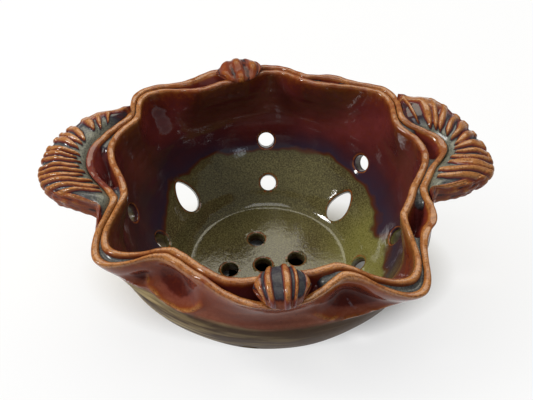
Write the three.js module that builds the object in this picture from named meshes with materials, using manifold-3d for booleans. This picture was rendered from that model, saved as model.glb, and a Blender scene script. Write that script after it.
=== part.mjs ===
// Berry bowl: a thrown stoneware colander with a split, ruffled rim, two ridged fan handles and two
// ridged buttons that bridge the lips of the rim. Millimetres, +Z up, standing on z = 0.

import * as THREE from 'three';
import { mergeVertices } from 'three/addons/utils/BufferGeometryUtils.js';
import Module from 'manifold-3d';

const wasm = await Module();
wasm.setup();

// Gap left between clay pieces that meet
const CLEARANCE = 0.3;

// Thrown bowl, before its rim is ruffled
const FLOOR_RADIUS = 24;
const FLOOR_THICK = 6;
const FLOOR_SWEEP = 16;
const WALL_THICK = 5.5;
const WALL_SWEEP = 26;
const BELLY_RADIUS = 66;
const BELLY_HEIGHT = 50;

// Shares of the way up the wall where the floor's thickness has faded, and where the rim's begins
const FLOOR_FADE_END = 0.4;
const RIM_FADE_START = 0.5;

// Foot ring, with notches that let the water out from under the floor
const FOOT_RADIUS = 34;
const FOOT_WIDTH = 6;
const FOOT_HEIGHT = 5;
const NOTCH_COUNT = 3;
const NOTCH_WIDTH = 12;
const NOTCH_HEIGHT = 2.5;

// Split rim: the inner lip is the top of the body, the outer lip is a ring around it
const LIP_HEIGHT = 16.5;
const LIP_THICK = 3.3;
const OUTER_LIP_THICK = 3.3;
const LIP_ROUNDING = 1.65;

// Ruffling: the rim is pinched in, and sinks a little where it is pulled out
const PINCH_DEPTH = 6.65;
const RUFFLE_DEPTH = 28.5;
const FOLD_DROP = 0.2;
const OPENING_DROP = 0.25;

// Folds pressed outwards from the pinched radius: direction in degrees, reach, half width in degrees
const FOLDS = [
  { at: -144, out: 15.5, spread: 19 },
  { at: -103, out: 3, spread: 21 },
  { at: -48, out: 18, spread: 20 },
  { at: 9, out: 7, spread: 26 },
  { at: 44, out: 13.5, spread: 23 },
  { at: 87, out: 8, spread: 15 },
  { at: 138, out: 16.5, spread: 17 },
  { at: 165, out: 9, spread: 30 },
];

// Places where the outer lip is pulled away from the inner one, in the same terms
const OPENINGS = [
  { at: -139, out: 3, spread: 10 },
  { at: -86, out: 8.5, spread: 26 },
  { at: -52, out: 3.5, spread: 11 },
  { at: -27, out: 8, spread: 15 },
  { at: 13, out: 7.5, spread: 16 },
  { at: 64, out: 5.5, spread: 11 },
  { at: 112, out: 10, spread: 28 },
  { at: 180, out: 7, spread: 23 },
];

// Drain holes in the floor: one in the middle of a ring, a little off the axis
const HOLE_DIAMETER = 8;
const FLOOR_HOLE_COUNT = 4;
const FLOOR_HOLE_PITCH = 16.5;
const FLOOR_HOLE_TURN = 12;
const FLOOR_HOLE_SHIFT = -2.5;

// Drain holes in the wall: direction in degrees and height above the floor
const WALL_HOLES = [
  { at: 177, height: 32 },
  { at: 91, height: 27.5 },
  { at: 41, height: 29.5 },
  { at: -4, height: 24.5 },
  { at: -49, height: 26 },
  { at: -97, height: 28 },
  { at: -140, height: 30 },
  { at: 177, height: 14.5 },
  { at: 90, height: 10.5 },
  { at: -7, height: 7.5 },
  { at: -55, height: 8 },
  { at: -98, height: 10 },
  { at: -142, height: 12 },
];
const TEARDROPS = [
  { at: 143, height: 15.5 },
  { at: 39, height: 10.5 },
];
const TEARDROP_LENGTH = 17;
const TEARDROP_WIDTH = 12;

// Fan handles: reach of the tip out from the pinched radius, lengths of the edge to its front and back
const RIGHT_HANDLE_REACH = 36;
const RIGHT_HANDLE_FRONT = 21;
const RIGHT_HANDLE_BACK = 45;
const LEFT_HANDLE_REACH = 37.5;
const LEFT_HANDLE_FRONT = 28.5;
const LEFT_HANDLE_BACK = 33.5;

// Shares of the ridges that run out along the lip at both ends, as flanks that stand out a little from it
const HANDLE_FRONT_FLANK = 0.14;
const HANDLE_BACK_FLANK = 0.05;
const HANDLE_FLANK_REACH = 4.5;
const HANDLE_BASE_REACH = 7;
const HANDLE_FRONT_SQUARENESS = 2.3;
const HANDLE_BACK_SQUARENESS = 1.85;
const HANDLE_ROOT_DROP = 3;
const HANDLE_EDGE_DROP = 1;
const HANDLE_CROWN = 5;
const HANDLE_ROOT_THICK = 10;
const HANDLE_EDGE_THICK = 5;
const HANDLE_RIDGES = 15;
const HANDLE_RIDGE_HEIGHT = 2;

// Directions in degrees: the tip of each fan, and where its root begins and ends on the rim
const HANDLES = [
  {
    name: 'handle_right',
    at: 4,
    rootFront: -20.5,
    rootBack: 37.5,
    reach: RIGHT_HANDLE_REACH,
    front: RIGHT_HANDLE_FRONT,
    back: RIGHT_HANDLE_BACK,
  },
  {
    name: 'handle_left',
    at: 176,
    rootFront: 209,
    rootBack: 149.5,
    reach: LEFT_HANDLE_REACH,
    front: LEFT_HANDLE_FRONT,
    back: LEFT_HANDLE_BACK,
  },
];

// Buttons: reach of the middle out from the pinched radius, width along the rim, rise above the inner lip
const FRONT_BUTTON_REACH = 6;
const FRONT_BUTTON_WIDTH = 21;
const FRONT_BUTTON_RISE = 6.5;
const BACK_BUTTON_REACH = 7;
const BACK_BUTTON_WIDTH = 23;
const BACK_BUTTON_RISE = 3.5;
const BUTTON_LENGTH = 20;
const BUTTON_SINK = 3;
const BUTTON_RIDGES = 5;
const BUTTON_RIDGE_HEIGHT = 0.8;
const BUTTON_ROUNDNESS = 0.7;

// Directions in degrees of the buttons
const BUTTONS = [
  {
    name: 'button_front',
    at: -86,
    reach: FRONT_BUTTON_REACH,
    width: FRONT_BUTTON_WIDTH,
    rise: FRONT_BUTTON_RISE,
  },
  {
    name: 'button_back',
    at: 102,
    reach: BACK_BUTTON_REACH,
    width: BACK_BUTTON_WIDTH,
    rise: BACK_BUTTON_RISE,
  },
];

// Fineness of the faceted surfaces
const TURN_SEGMENTS = 96;
const WALL_STEPS = 8;
const LIP_STEPS = 3;
const ROUND_STEPS = 4;
const HOLE_STEPS = 8;
const RIDGE_STEPS = 4;
const FAN_STEPS = 5;
const BUTTON_STEPS = 6;
const CURVE_TOLERANCE = 1e-6;

// Gloss of the glaze
const GLAZE_ROUGHNESS = 0.25;

// Heights above the table that follow from the sizes
const FLOOR_TOP = FOOT_HEIGHT + FLOOR_THICK;
const SPLIT_Z = FLOOR_TOP + BELLY_HEIGHT;
const RIM_Z = SPLIT_Z + LIP_HEIGHT;
const LIP_ROUND_Z = RIM_Z - LIP_ROUNDING;

// Radii of the rim as thrown, and where it is pinched
const SPLIT_RADIUS = BELLY_RADIUS + LIP_THICK + CLEARANCE;
const RIM_THICK = LIP_THICK + CLEARANCE + OUTER_LIP_THICK;
const THROWN_LIP_RADIUS = BELLY_RADIUS + LIP_THICK / 2;
const PINCH_RADIUS = THROWN_LIP_RADIUS - PINCH_DEPTH;

// Length of a hole's cutter, which goes through the clay wherever the hole is
const CUTTER_LENGTH = 2 * (FLOOR_THICK + WALL_THICK + RIM_THICK);

const UP = new THREE.Vector3(0, 0, 1);
const { degToRad, radToDeg, euclideanModulo, lerp, smoothstep, clamp } = THREE.MathUtils;

// Sum of rounded bumps around the rim, at a direction in degrees
function bumps(rows, direction) {
  let sum = 0;
  for (const { at, out, spread } of rows) {
    const away = Math.abs(euclideanModulo(direction - at + 180, 360) - 180);
    if (away < spread) {
      sum += (out / 2) * (1 + Math.cos((Math.PI * away) / spread));
    }
  }
  return sum;
}

// How far the ruffling has grown at a height, from the plain wall to the rim
const ruffleShare = (z) => smoothstep(z, RIM_Z - RUFFLE_DEPTH, RIM_Z);

// How far the outer lip has left the inner one at a height, from the split to the rim
const openingShare = (z) => clamp((z - SPLIT_Z) / (RIM_Z - SPLIT_Z), 0, 1);

// A thrown point (radius, height) in a direction, moved as the ruffled wall moves it
function ruffled(radius, z, direction, opens) {
  const fold = bumps(FOLDS, direction) * ruffleShare(z);
  const pinch = PINCH_DEPTH * ruffleShare(z);
  const opening = opens ? bumps(OPENINGS, direction) * openingShare(z) : 0;
  return { radius: radius + fold - pinch + opening, z: z - FOLD_DROP * fold - OPENING_DROP * opening };
}

// A point around the axis
function around(radius, direction, z) {
  const angle = degToRad(direction);
  return new THREE.Vector3(radius * Math.cos(angle), radius * Math.sin(angle), z);
}

// Closed mesh to solid: only positions are kept, shared corners are merged, empty triangles are dropped
function toSolid(geometry) {
  const bare = new THREE.BufferGeometry();
  bare.setAttribute('position', geometry.getAttribute('position'));
  bare.setIndex(geometry.getIndex());
  const merged = mergeVertices(bare);
  const corners = merged.getIndex().array;
  const triangles = [];
  for (let i = 0; i < corners.length; i += 3) {
    const [a, b, c] = corners.slice(i, i + 3);
    if (a !== b && b !== c && c !== a) {
      triangles.push(a, b, c);
    }
  }
  const vertProperties = new Float32Array(merged.getAttribute('position').array);
  const triVerts = new Uint32Array(triangles);
  return new wasm.Manifold(new wasm.Mesh({ numProp: 3, vertProperties, triVerts }));
}

// Solid back to a geometry
function toGeometry(solid) {
  const mesh = solid.getMesh();
  const geometry = new THREE.BufferGeometry();
  geometry.setAttribute('position', new THREE.BufferAttribute(mesh.vertProperties, 3));
  geometry.setIndex(new THREE.BufferAttribute(mesh.triVerts, 1));
  geometry.computeVertexNormals();
  return geometry;
}

// Profile turned on the wheel about the Z axis
function turned(profile) {
  return new THREE.LatheGeometry(profile, TURN_SEGMENTS).rotateX(Math.PI / 2);
}

// Triangles of a turned profile: each cell is cut along the diagonal that climbs with the turn, so that two
// faces of the ruffled rim that lie close together stay parallel
function turnedTriangles(profile) {
  const triangles = [];
  for (let i = 0; i < TURN_SEGMENTS; i += 1) {
    for (let j = 0; j + 1 < profile.length; j += 1) {
      const a = i * profile.length + j;
      const b = a + profile.length;
      const climbs = profile[j + 1].y > profile[j].y;
      triangles.push(...(climbs ? [a, b, b + 1, a, b + 1, a + 1] : [a, b, a + 1, b + 1, a + 1, b]));
    }
  }
  return triangles;
}

// Turned clay with its rim ruffled by hand
function ruffledSolid(profile, opens) {
  const geometry = turned(profile).setIndex(turnedTriangles(profile));
  const position = geometry.getAttribute('position');
  const point = new THREE.Vector3();
  for (let i = 0; i < position.count; i += 1) {
    point.fromBufferAttribute(position, i);
    const direction = radToDeg(Math.atan2(point.y, point.x));
    const moved = ruffled(Math.hypot(point.x, point.y), point.z, direction, opens);
    const placed = Math.hypot(point.x, point.y) > 0 ? around(moved.radius, direction, moved.z) : point;
    position.setXYZ(i, placed.x, placed.y, placed.z);
  }
  return toSolid(geometry);
}

// Inside of the wall, from the edge of the flat floor up to the belly
const wallCurve = new THREE.CubicBezierCurve(
  new THREE.Vector2(FLOOR_RADIUS, FLOOR_TOP),
  new THREE.Vector2(FLOOR_RADIUS + FLOOR_SWEEP, FLOOR_TOP),
  new THREE.Vector2(BELLY_RADIUS, SPLIT_Z - WALL_SWEEP),
  new THREE.Vector2(BELLY_RADIUS, SPLIT_Z),
);

// Direction out through the wall, square to its inside
function wallNormal(t) {
  const along = wallCurve.getTangent(t);
  return new THREE.Vector2(along.y, -along.x);
}

// Thickness of the clay: floor, then wall, then the full rim at the split
function clayThickness(t) {
  const wall = lerp(FLOOR_THICK, WALL_THICK, smoothstep(t, 0, FLOOR_FADE_END));
  return lerp(wall, RIM_THICK, smoothstep(t, RIM_FADE_START, 1));
}

// Outside of the wall, a list of points from the underside to the split
function outerWall(grow) {
  const points = [];
  for (let i = 0; i <= WALL_STEPS; i += 1) {
    const t = i / WALL_STEPS;
    points.push(wallCurve.getPoint(t).addScaledVector(wallNormal(t), clayThickness(t) + grow));
  }
  return points;
}

// Face of a lip at a radius, from above the split up to where its top rounds over
function lipFace(radius) {
  const points = [];
  for (let i = 1; i <= LIP_STEPS; i += 1) {
    points.push(new THREE.Vector2(radius, lerp(SPLIT_Z, LIP_ROUND_Z, i / LIP_STEPS)));
  }
  return points;
}

// Lip from its outer face, over its rounded top, down its inner face
function lipProfile(inside, thick, grow) {
  const top = [];
  const tall = LIP_ROUNDING + grow;
  for (let i = 1; i < ROUND_STEPS; i += 1) {
    const angle = (Math.PI * i) / ROUND_STEPS;
    const out = inside + (thick / 2) * (1 + Math.cos(angle));
    top.push(new THREE.Vector2(out, LIP_ROUND_Z + tall * Math.sin(angle)));
  }
  return [...lipFace(inside + thick), ...top, ...lipFace(inside).reverse()];
}

// Body: underside, outer wall, ledge of the split, inner lip, inner wall, floor
function bodyProfile(grow) {
  const inside = BELLY_RADIUS - grow;
  const thick = LIP_THICK + 2 * grow;
  const inner = wallCurve.getPoints(WALL_STEPS).reverse();
  return [
    new THREE.Vector2(0, FOOT_HEIGHT - grow),
    ...outerWall(grow),
    new THREE.Vector2(inside + thick, SPLIT_Z + grow),
    ...lipProfile(inside, thick, grow),
    ...inner,
    new THREE.Vector2(0, FLOOR_TOP),
  ];
}

// Outer lip: a ring that stands on the ledge
function outerRimProfile(grow) {
  const inside = SPLIT_RADIUS - grow;
  const thick = OUTER_LIP_THICK + 2 * grow;
  const bottom = SPLIT_Z + CLEARANCE - grow;
  const points = [
    new THREE.Vector2(inside, bottom),
    new THREE.Vector2(inside + thick, bottom),
    ...lipProfile(inside, thick, grow),
  ];
  points.push(points[0].clone());
  return points;
}

// The whole bowl with its inside filled up to the rim
function filledProfile(grow) {
  const outer = BELLY_RADIUS + RIM_THICK + grow;
  return [
    new THREE.Vector2(0, FOOT_HEIGHT - grow),
    ...outerWall(grow),
    ...lipFace(outer),
    new THREE.Vector2(outer, RIM_Z + grow),
    new THREE.Vector2(0, RIM_Z + grow),
  ];
}

// Parameter of the wall curve at a height above the floor
function wallAtHeight(height) {
  let low = 0;
  let high = 1;
  while (high - low > CURVE_TOLERANCE) {
    const middle = (low + high) / 2;
    if (wallCurve.getPoint(middle).y < FLOOR_TOP + height) {
      low = middle;
    } else {
      high = middle;
    }
  }
  return low;
}

// Outline of a drain hole around its centre: round, or a teardrop with its point up the wall
function holeShape(width, length) {
  const shape = new THREE.Shape();
  const round = width / 2;
  if (length === width) {
    shape.absarc(0, 0, round, 0, 2 * Math.PI);
    return shape;
  }
  const centre = (width - length) / 2;
  const tip = length / 2;
  const touch = Math.asin(round / (tip - centre));
  shape.absarc(0, centre, round, touch, Math.PI - touch, true);
  shape.lineTo(0, tip);
  shape.closePath();
  return shape;
}

// Cutter for a hole, reaching as far to both sides of its centre
function holeCutter(shape) {
  const options = { depth: CUTTER_LENGTH, bevelEnabled: false, curveSegments: HOLE_STEPS };
  return new THREE.ExtrudeGeometry(shape, options).translate(0, 0, -CUTTER_LENGTH / 2);
}

// Cutter set square through the wall
function wallCutter(shape, { at, height }) {
  const t = wallAtHeight(height);
  const spot = wallCurve.getPoint(t);
  const normal = wallNormal(t);
  const out = around(normal.x, at, normal.y);
  const side = around(1, at + 90, 0);
  const up = new THREE.Vector3().crossVectors(out, side);
  const placed = new THREE.Matrix4().makeBasis(side, up, out);
  placed.setPosition(around(spot.x, at, spot.y));
  return toSolid(holeCutter(shape).applyMatrix4(placed));
}

// Bowl body with its drain holes
function bowlBody() {
  const round = holeShape(HOLE_DIAMETER, HOLE_DIAMETER);
  const teardrop = holeShape(TEARDROP_WIDTH, TEARDROP_LENGTH);
  let body = ruffledSolid(bodyProfile(0), false);
  const spots = [new THREE.Vector3(0, 0, FLOOR_TOP)];
  for (let i = 0; i < FLOOR_HOLE_COUNT; i += 1) {
    spots.push(around(FLOOR_HOLE_PITCH, FLOOR_HOLE_TURN + (360 * i) / FLOOR_HOLE_COUNT, FLOOR_TOP));
  }
  for (const spot of spots) {
    body = body.subtract(toSolid(holeCutter(round).translate(spot.x + FLOOR_HOLE_SHIFT, spot.y, spot.z)));
  }
  for (const hole of WALL_HOLES) {
    body = body.subtract(wallCutter(round, hole));
  }
  for (const hole of TEARDROPS) {
    body = body.subtract(wallCutter(teardrop, hole));
  }
  return body;
}

// Height of the body's underside at a radius
function undersideAt(radius) {
  const points = outerWall(CLEARANCE);
  let z = FOOT_HEIGHT - CLEARANCE;
  for (let i = 1; i < points.length; i += 1) {
    const [from, to] = [points[i - 1], points[i]];
    if (from.x <= radius && radius <= to.x) {
      z = lerp(from.y, to.y, (radius - from.x) / (to.x - from.x));
    }
  }
  return z;
}

// Foot ring: its top follows the underside of the bowl, notches run under it
function footRing() {
  const profile = [];
  const inside = FOOT_RADIUS - FOOT_WIDTH;
  profile.push(new THREE.Vector2(inside, 0), new THREE.Vector2(FOOT_RADIUS, 0));
  for (let i = ROUND_STEPS; i >= 0; i -= 1) {
    const radius = lerp(inside, FOOT_RADIUS, i / ROUND_STEPS);
    profile.push(new THREE.Vector2(radius, undersideAt(radius)));
  }
  profile.push(profile[0].clone());
  let ring = toSolid(turned(profile));
  for (let i = 0; i < NOTCH_COUNT; i += 1) {
    const notch = new THREE.BoxGeometry(2 * FOOT_WIDTH, NOTCH_WIDTH, 2 * NOTCH_HEIGHT);
    notch.translate(FOOT_RADIUS - FOOT_WIDTH / 2, 0, 0);
    ring = ring.subtract(toSolid(notch.rotateZ((2 * Math.PI * i) / NOTCH_COUNT)));
  }
  return ring;
}

// Solid between closed sections of equal point count; each section runs along its top and back below
function loft(sections) {
  const count = sections[0].length;
  const positions = sections.flat().flatMap((point) => point.toArray());
  const triangles = [];
  for (let s = 0; s + 1 < sections.length; s += 1) {
    for (let i = 0; i < count; i += 1) {
      const a = s * count + i;
      const b = s * count + ((i + 1) % count);
      triangles.push(a, b, a + count, b, b + count, a + count);
    }
  }
  const last = (sections.length - 1) * count;
  for (let i = 0; i + 1 < count / 2; i += 1) {
    const [a, b, c, d] = [i, i + 1, count - 2 - i, count - 1 - i];
    triangles.push(a, c, b, a, d, c);
    triangles.push(last + a, last + b, last + c, last + a, last + c, last + d);
  }
  const geometry = new THREE.BufferGeometry();
  geometry.setAttribute('position', new THREE.Float32BufferAttribute(positions, 3));
  geometry.setIndex(triangles);
  return toSolid(geometry);
}

// Fan handle before it is cut to the bowl: ridges run from the outer lip to the arched edge, and the root
// runs on inwards to the pinched radius
function handleFan({ at, reach, front, back, rootFront, rootBack }) {
  const columns = HANDLE_RIDGES * RIDGE_STEPS;
  const side = Math.sign(rootFront - rootBack);
  const sections = [];
  for (let j = 0; j <= columns; j += 1) {
    const share = j / columns;
    const direction = lerp(rootFront, rootBack, share);
    const root = ruffled(SPLIT_RADIUS + OUTER_LIP_THICK / 2, RIM_Z, direction, true);
    const start = around(root.radius, direction, 0);
    const turn = Math.PI * clamp((share - HANDLE_FRONT_FLANK) / (1 - HANDLE_FRONT_FLANK), 0, 1);
    const atFront = turn < Math.PI / 2;
    const power = 2 / (atFront ? HANDLE_FRONT_SQUARENESS : HANDLE_BACK_SQUARENESS);
    const out = PINCH_RADIUS + lerp(HANDLE_BASE_REACH, reach, Math.sin(turn) ** power);
    const along = (atFront ? front : -back) * Math.abs(Math.cos(turn)) ** power;
    const tip = new THREE.Vector3(out, side * along, 0);
    tip.applyAxisAngle(UP, degToRad(at));
    const grown = smoothstep(share, 0, HANDLE_FRONT_FLANK) * smoothstep(1 - share, 0, HANDLE_BACK_FLANK);
    const end = around(root.radius + HANDLE_FLANK_REACH, direction, 0).lerp(tip, grown);
    const valley = (HANDLE_RIDGE_HEIGHT * (1 + Math.cos(2 * Math.PI * HANDLE_RIDGES * share))) / 2;
    const rootThick = lerp(HANDLE_EDGE_THICK, HANDLE_ROOT_THICK, grown);
    const rootZ = root.z - HANDLE_ROOT_DROP;
    const top = [around(PINCH_RADIUS, direction, rootZ)];
    const bottom = [around(PINCH_RADIUS, direction, rootZ - rootThick)];
    for (let i = 0; i <= FAN_STEPS; i += 1) {
      const t = i / FAN_STEPS;
      const { x, y } = start.clone().lerp(end, t);
      const arch = HANDLE_CROWN * 4 * t * (1 - t);
      const z = root.z + arch - lerp(HANDLE_ROOT_DROP, HANDLE_EDGE_DROP, t);
      const thick = lerp(rootThick, HANDLE_EDGE_THICK, t);
      top.push(new THREE.Vector3(x, y, z - valley * Math.sin((Math.PI / 2) * t)));
      bottom.unshift(new THREE.Vector3(x, y, z - thick));
    }
    sections.push([...top, ...bottom]);
  }
  return loft(side > 0 ? sections.reverse() : sections);
}

// Button before it is pressed over the lips: a dome with ridges along the radius of the bowl, widest where
// the inner lip ends, and sunk a little into the gap between the lips
function buttonDome({ at, reach, width, rise }) {
  const columns = BUTTON_RIDGES * RIDGE_STEPS;
  const lip = ruffled(THROWN_LIP_RADIUS, RIM_Z, at, false);
  const middle = new THREE.Vector3(PINCH_RADIUS + reach, 0, lip.z);
  const sections = [];
  for (let j = 1; j < columns; j += 1) {
    const share = j / columns;
    const turn = Math.PI * share;
    const valley = (BUTTON_RIDGE_HEIGHT * (1 + Math.cos(2 * Math.PI * BUTTON_RIDGES * share))) / 2;
    const round = Math.sin(turn) ** BUTTON_ROUNDNESS;
    const long = (BUTTON_LENGTH / 2) * round - valley;
    const section = [];
    for (let i = 0; i < 2 * BUTTON_STEPS; i += 1) {
      const angle = Math.PI * (1 - (i + 0.5) / BUTTON_STEPS);
      const tall = i < BUTTON_STEPS ? rise * round - valley : BUTTON_SINK * round;
      const side = -(width / 2) * Math.cos(turn);
      const point = new THREE.Vector3(long * Math.cos(angle), side, tall * Math.sin(angle));
      section.push(point.add(middle).applyAxisAngle(UP, degToRad(at)));
    }
    sections.push(section);
  }
  return loft(sections);
}

// Glazed stoneware in one of the colours of the bowl
function glaze(color) {
  return new THREE.MeshStandardMaterial({ color, roughness: GLAZE_ROUGHNESS, metalness: 0 });
}

const BROWN = glaze(0x6b2f1a);
const TAN = glaze(0xa8632f);
const OLIVE = glaze(0x5a4a2a);

// Space that the two lips take up, with the clearance that the buttons keep from them
const bodySpace = ruffledSolid(bodyProfile(CLEARANCE), false);
const lipSpace = bodySpace.add(ruffledSolid(outerRimProfile(CLEARANCE), true));

// Everything inside the outer face of the bowl, with the clearance that the handles keep from it
const bowlSpace = ruffledSolid(filledProfile(CLEARANCE), true);

const pieces = [
  ['bowl_body', bowlBody(), BROWN],
  ['outer_rim', ruffledSolid(outerRimProfile(0), true), TAN],
  ['foot_ring', footRing(), OLIVE],
  ...HANDLES.map((handle) => [handle.name, handleFan(handle).subtract(bowlSpace), TAN]),
  ...BUTTONS.map((button) => [button.name, buttonDome(button).subtract(lipSpace), TAN]),
];

// The origin is on the table, under the middle of the whole outline
const bowl = new THREE.Group();
for (const [name, solid, material] of pieces) {
  const mesh = new THREE.Mesh(toGeometry(solid), material);
  mesh.name = name;
  bowl.add(mesh);
}
const centre = new THREE.Box3().setFromObject(bowl).getCenter(new THREE.Vector3());
bowl.position.set(-centre.x, -centre.y, 0);

const berryBowl = new THREE.Group();
berryBowl.add(bowl);

export default berryBowl;
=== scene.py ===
"""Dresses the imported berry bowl: finer clay, glaze, studio floor, light and camera.

Lengths are in millimetres about the bowl's axis, standing on z = 0, and directions in degrees from +X. They
turn into metres of the frame when a mesh is made. The clay carries values for the glaze: relief, from -1 in a
hollow over 0 on a flat wall to 1 on a thin edge; line, the height above the border of the green glaze; outer,
1 on the outside; dent, 1 in a finger dent; and bare, 1 where the clay has no glaze."""

from collections import namedtuple

import bpy
import numpy as np
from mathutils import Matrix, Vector
from mathutils.kdtree import KDTree


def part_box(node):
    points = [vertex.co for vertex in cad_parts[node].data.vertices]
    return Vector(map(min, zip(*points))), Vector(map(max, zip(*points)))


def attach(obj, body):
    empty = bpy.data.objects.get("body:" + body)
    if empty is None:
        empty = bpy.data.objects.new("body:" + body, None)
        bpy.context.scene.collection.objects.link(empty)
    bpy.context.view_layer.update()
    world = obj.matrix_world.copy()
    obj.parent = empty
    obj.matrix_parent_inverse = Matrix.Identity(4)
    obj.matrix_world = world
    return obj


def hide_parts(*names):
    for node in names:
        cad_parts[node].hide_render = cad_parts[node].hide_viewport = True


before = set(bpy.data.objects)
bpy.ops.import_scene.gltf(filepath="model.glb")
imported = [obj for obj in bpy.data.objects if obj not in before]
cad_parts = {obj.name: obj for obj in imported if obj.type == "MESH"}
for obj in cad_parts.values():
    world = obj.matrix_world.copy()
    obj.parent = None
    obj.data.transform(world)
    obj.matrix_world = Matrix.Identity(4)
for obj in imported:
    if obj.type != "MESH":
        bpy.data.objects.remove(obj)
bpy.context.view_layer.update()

MM = 0.001

# Most pairs of numbers below say where a smooth step begins and where it is complete

# Thrown bowl; its floor is a little hollow
FLOOR_RADIUS = 24.0
FLOOR_THICK = 6.0
FLOOR_SWEEP = 16.0
FLOOR_TOP = 11.0
FLOOR_DIP = 0.8
FLOOR_RISE = 0.0016
FLOOR_TO_WALL = (36.0, 46.0)
WALL_THICK = 5.5
WALL_SWEEP = 26.0
WALL_THICK_FROM = (0.0, 0.4)
RIM_THICK_FROM = (0.5, 1.0)
BELLY_RADIUS = 66.0
FOOT_HEIGHT = 5.0
SPLIT_Z = 61.0
RIM_Z = 77.5

# Foot ring, with rounded corners and notches
FOOT_RADIUS = 34.0
FOOT_WIDTH = 6.0
FOOT_CORNER = 1.2
FOOT_FLAT_INSET = 2.0
FOOT_SIDE_Z = 1.8
FOOT_OUTSIDE_TOP = 7.0
FOOT_INSIDE_TOP = 5.4
FOOT_WOBBLE = 0.4
FOOT_WOBBLE_Z = 40.0
FOOT_BARE = (1.3, 0.5)
NOTCHES = (0.0, 120.0, 240.0)
NOTCH_WIDTH = 12.0
NOTCH_HEIGHT = 2.5
NOTCH_SLOPE = 2.6

# Split rim; the slip between the lips leaves a shallow gap, and a deep one where the outer lip is pulled away
LIP_HEIGHT = 16.5
LIP_THICK = 3.3
LIP_GAP = 0.3
LIP_ROUNDING = 1.65
LIP_FLATNESS = 0.72
LIP_ROUND_Z = RIM_Z - LIP_ROUNDING
SPLIT_RADIUS = BELLY_RADIUS + LIP_THICK + LIP_GAP
RIM_THICK = 2 * LIP_THICK + LIP_GAP
RIM_PROUD = 0.03
RIM_SKIRT = 0.8
PINCH_DEPTH = 6.65
PINCH_RADIUS = BELLY_RADIUS + LIP_THICK / 2 - PINCH_DEPTH
RUFFLE_DEPTH = 28.5
FOLD_DROP = 0.2
OPENING_DROP = 0.25
OPENING_POWER = 1.4
SHALLOW_GAP = 1.9
DEEP_GAP = LIP_HEIGHT - 3.0
DEEP_GAP_FROM = (3.4, 8.0)
SLIP_OVERLAP = 0.4
SLIP_SAG = 0.8
SLIP_SAG_SHARE = 0.25

# Direction, reach and half width of the folds, of the places where the outer lip opens, and of deep gaps
FOLDS = (
    (-144, 15.5, 19), (-103, 3, 21), (-48, 18, 20), (9, 7, 26),
    (44, 13.5, 23), (87, 8, 15), (138, 16.5, 17), (165, 9, 30),
)
OPENINGS = (
    (-139, 3, 10), (-86, 8.5, 26), (-52, 3.5, 11), (-27, 8, 15),
    (13, 7.5, 16), (64, 5.5, 11), (112, 10, 28), (180, 7, 23),
)
DEEP_GAPS = ((-102, 1.0, 15),)

# Unevenness left by the hands, as waves: size, number in a turn, lean with the height, start
WALL_WAVES = ((0.20, 3, 0.05, 1.0), (0.14, 7, -0.09, 2.2), (0.10, 13, 0.16, 0.0))
WALL_WAVES_FROM = (12.0, 30.0)
LIP_WAVES = ((0.24, 11, 0, 0.7), (0.17, 23, 0, 2.1), (0.12, 37, 0, 4.0), (0.08, 71, 0, 1.2))

# Throwing rings on the wall: fine ones in a slight spiral, and weaker wide ones
RING_HEIGHT = 0.035
RING_PITCH = 5.2
RING_SPIRAL = 1.6
RING_START = 0.4
WIDE_RING_PITCH = 8.7
WIDE_RING_SHARE = 0.6
WIDE_RING_START = 1.1
RINGS_FROM = (14.0, 26.0)
RINGS_OUTSIDE = 0.5

# Finger dents under the outer lip: direction, height, depth, half width in degrees, half height
DENTS = (
    (-121.5, 68.5, 4.0, 6.6, 6.0), (-133, 66.5, 3.2, 2.6, 3.2), (-64, 66, 4.0, 7.5, 5.0),
    (62, 67, 2.0, 6.5, 6.5), (122, 67, 2.0, 6.0, 6.5),
)
DENT_FADE = 4.0
DENT_THROUGH = 2.4
DENT_FULL = 3.0

# Crease of clay below each dent, its ring and width in sizes of the dent
CREASE_HEIGHT = 1.1
CREASE_RING = 1.6
CREASE_WIDTH = 0.26
CREASE_BELOW = (0.5, -0.6)
# Tan line on each crease: glaze broken over it, and a painted highlight
CREASE_BREAK_AND_HIGHLIGHT = 0.8
DEEPEST_DENT = 4.0

# Drain holes: direction, height above the floor and sideways lean of the cut
HOLE_RADIUS = 4.0
HOLE_FILLET = 0.9
FLOOR_HOLES = 4
FLOOR_HOLE_PITCH = 16.5
FLOOR_HOLE_TURN = 12.0
FLOOR_HOLE_SHIFT = -2.5
WALL_HOLES = (
    (177, 32, 0), (91, 27.5, 0), (41, 29.5, 0), (-4, 24.5, 0), (-49, 26, 0), (-97, 28, 0), (-140, 30, 0),
    (177, 14.5, 0.55), (90, 10.5, 0), (-7, 7.5, 0), (-55, 8, 0), (-98, 10, 0), (-142, 12, 0),
)
TEARDROPS = ((143, 15.5, -0.42), (39, 10.5, 0.42))
TEARDROP_LENGTH = 17.0
TEARDROP_WIDTH = 12.0
TEARDROP_NARROWING = 0.42
TEARDROP_POWER = 1.6
LEAN_DOWN = 0.4
CUTTER_REACH = 4.0
CUTTER_FLARE = 5.0

# Tan ring of glaze round each hole
HALO_PLACE = 0.7
HALO_WIDTH = 0.35
HALO_RELIEF = 0.6
HALO_REACH = 16.0
HALO_DEPTH = 3.0
NO_HALO = 99.0

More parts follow.
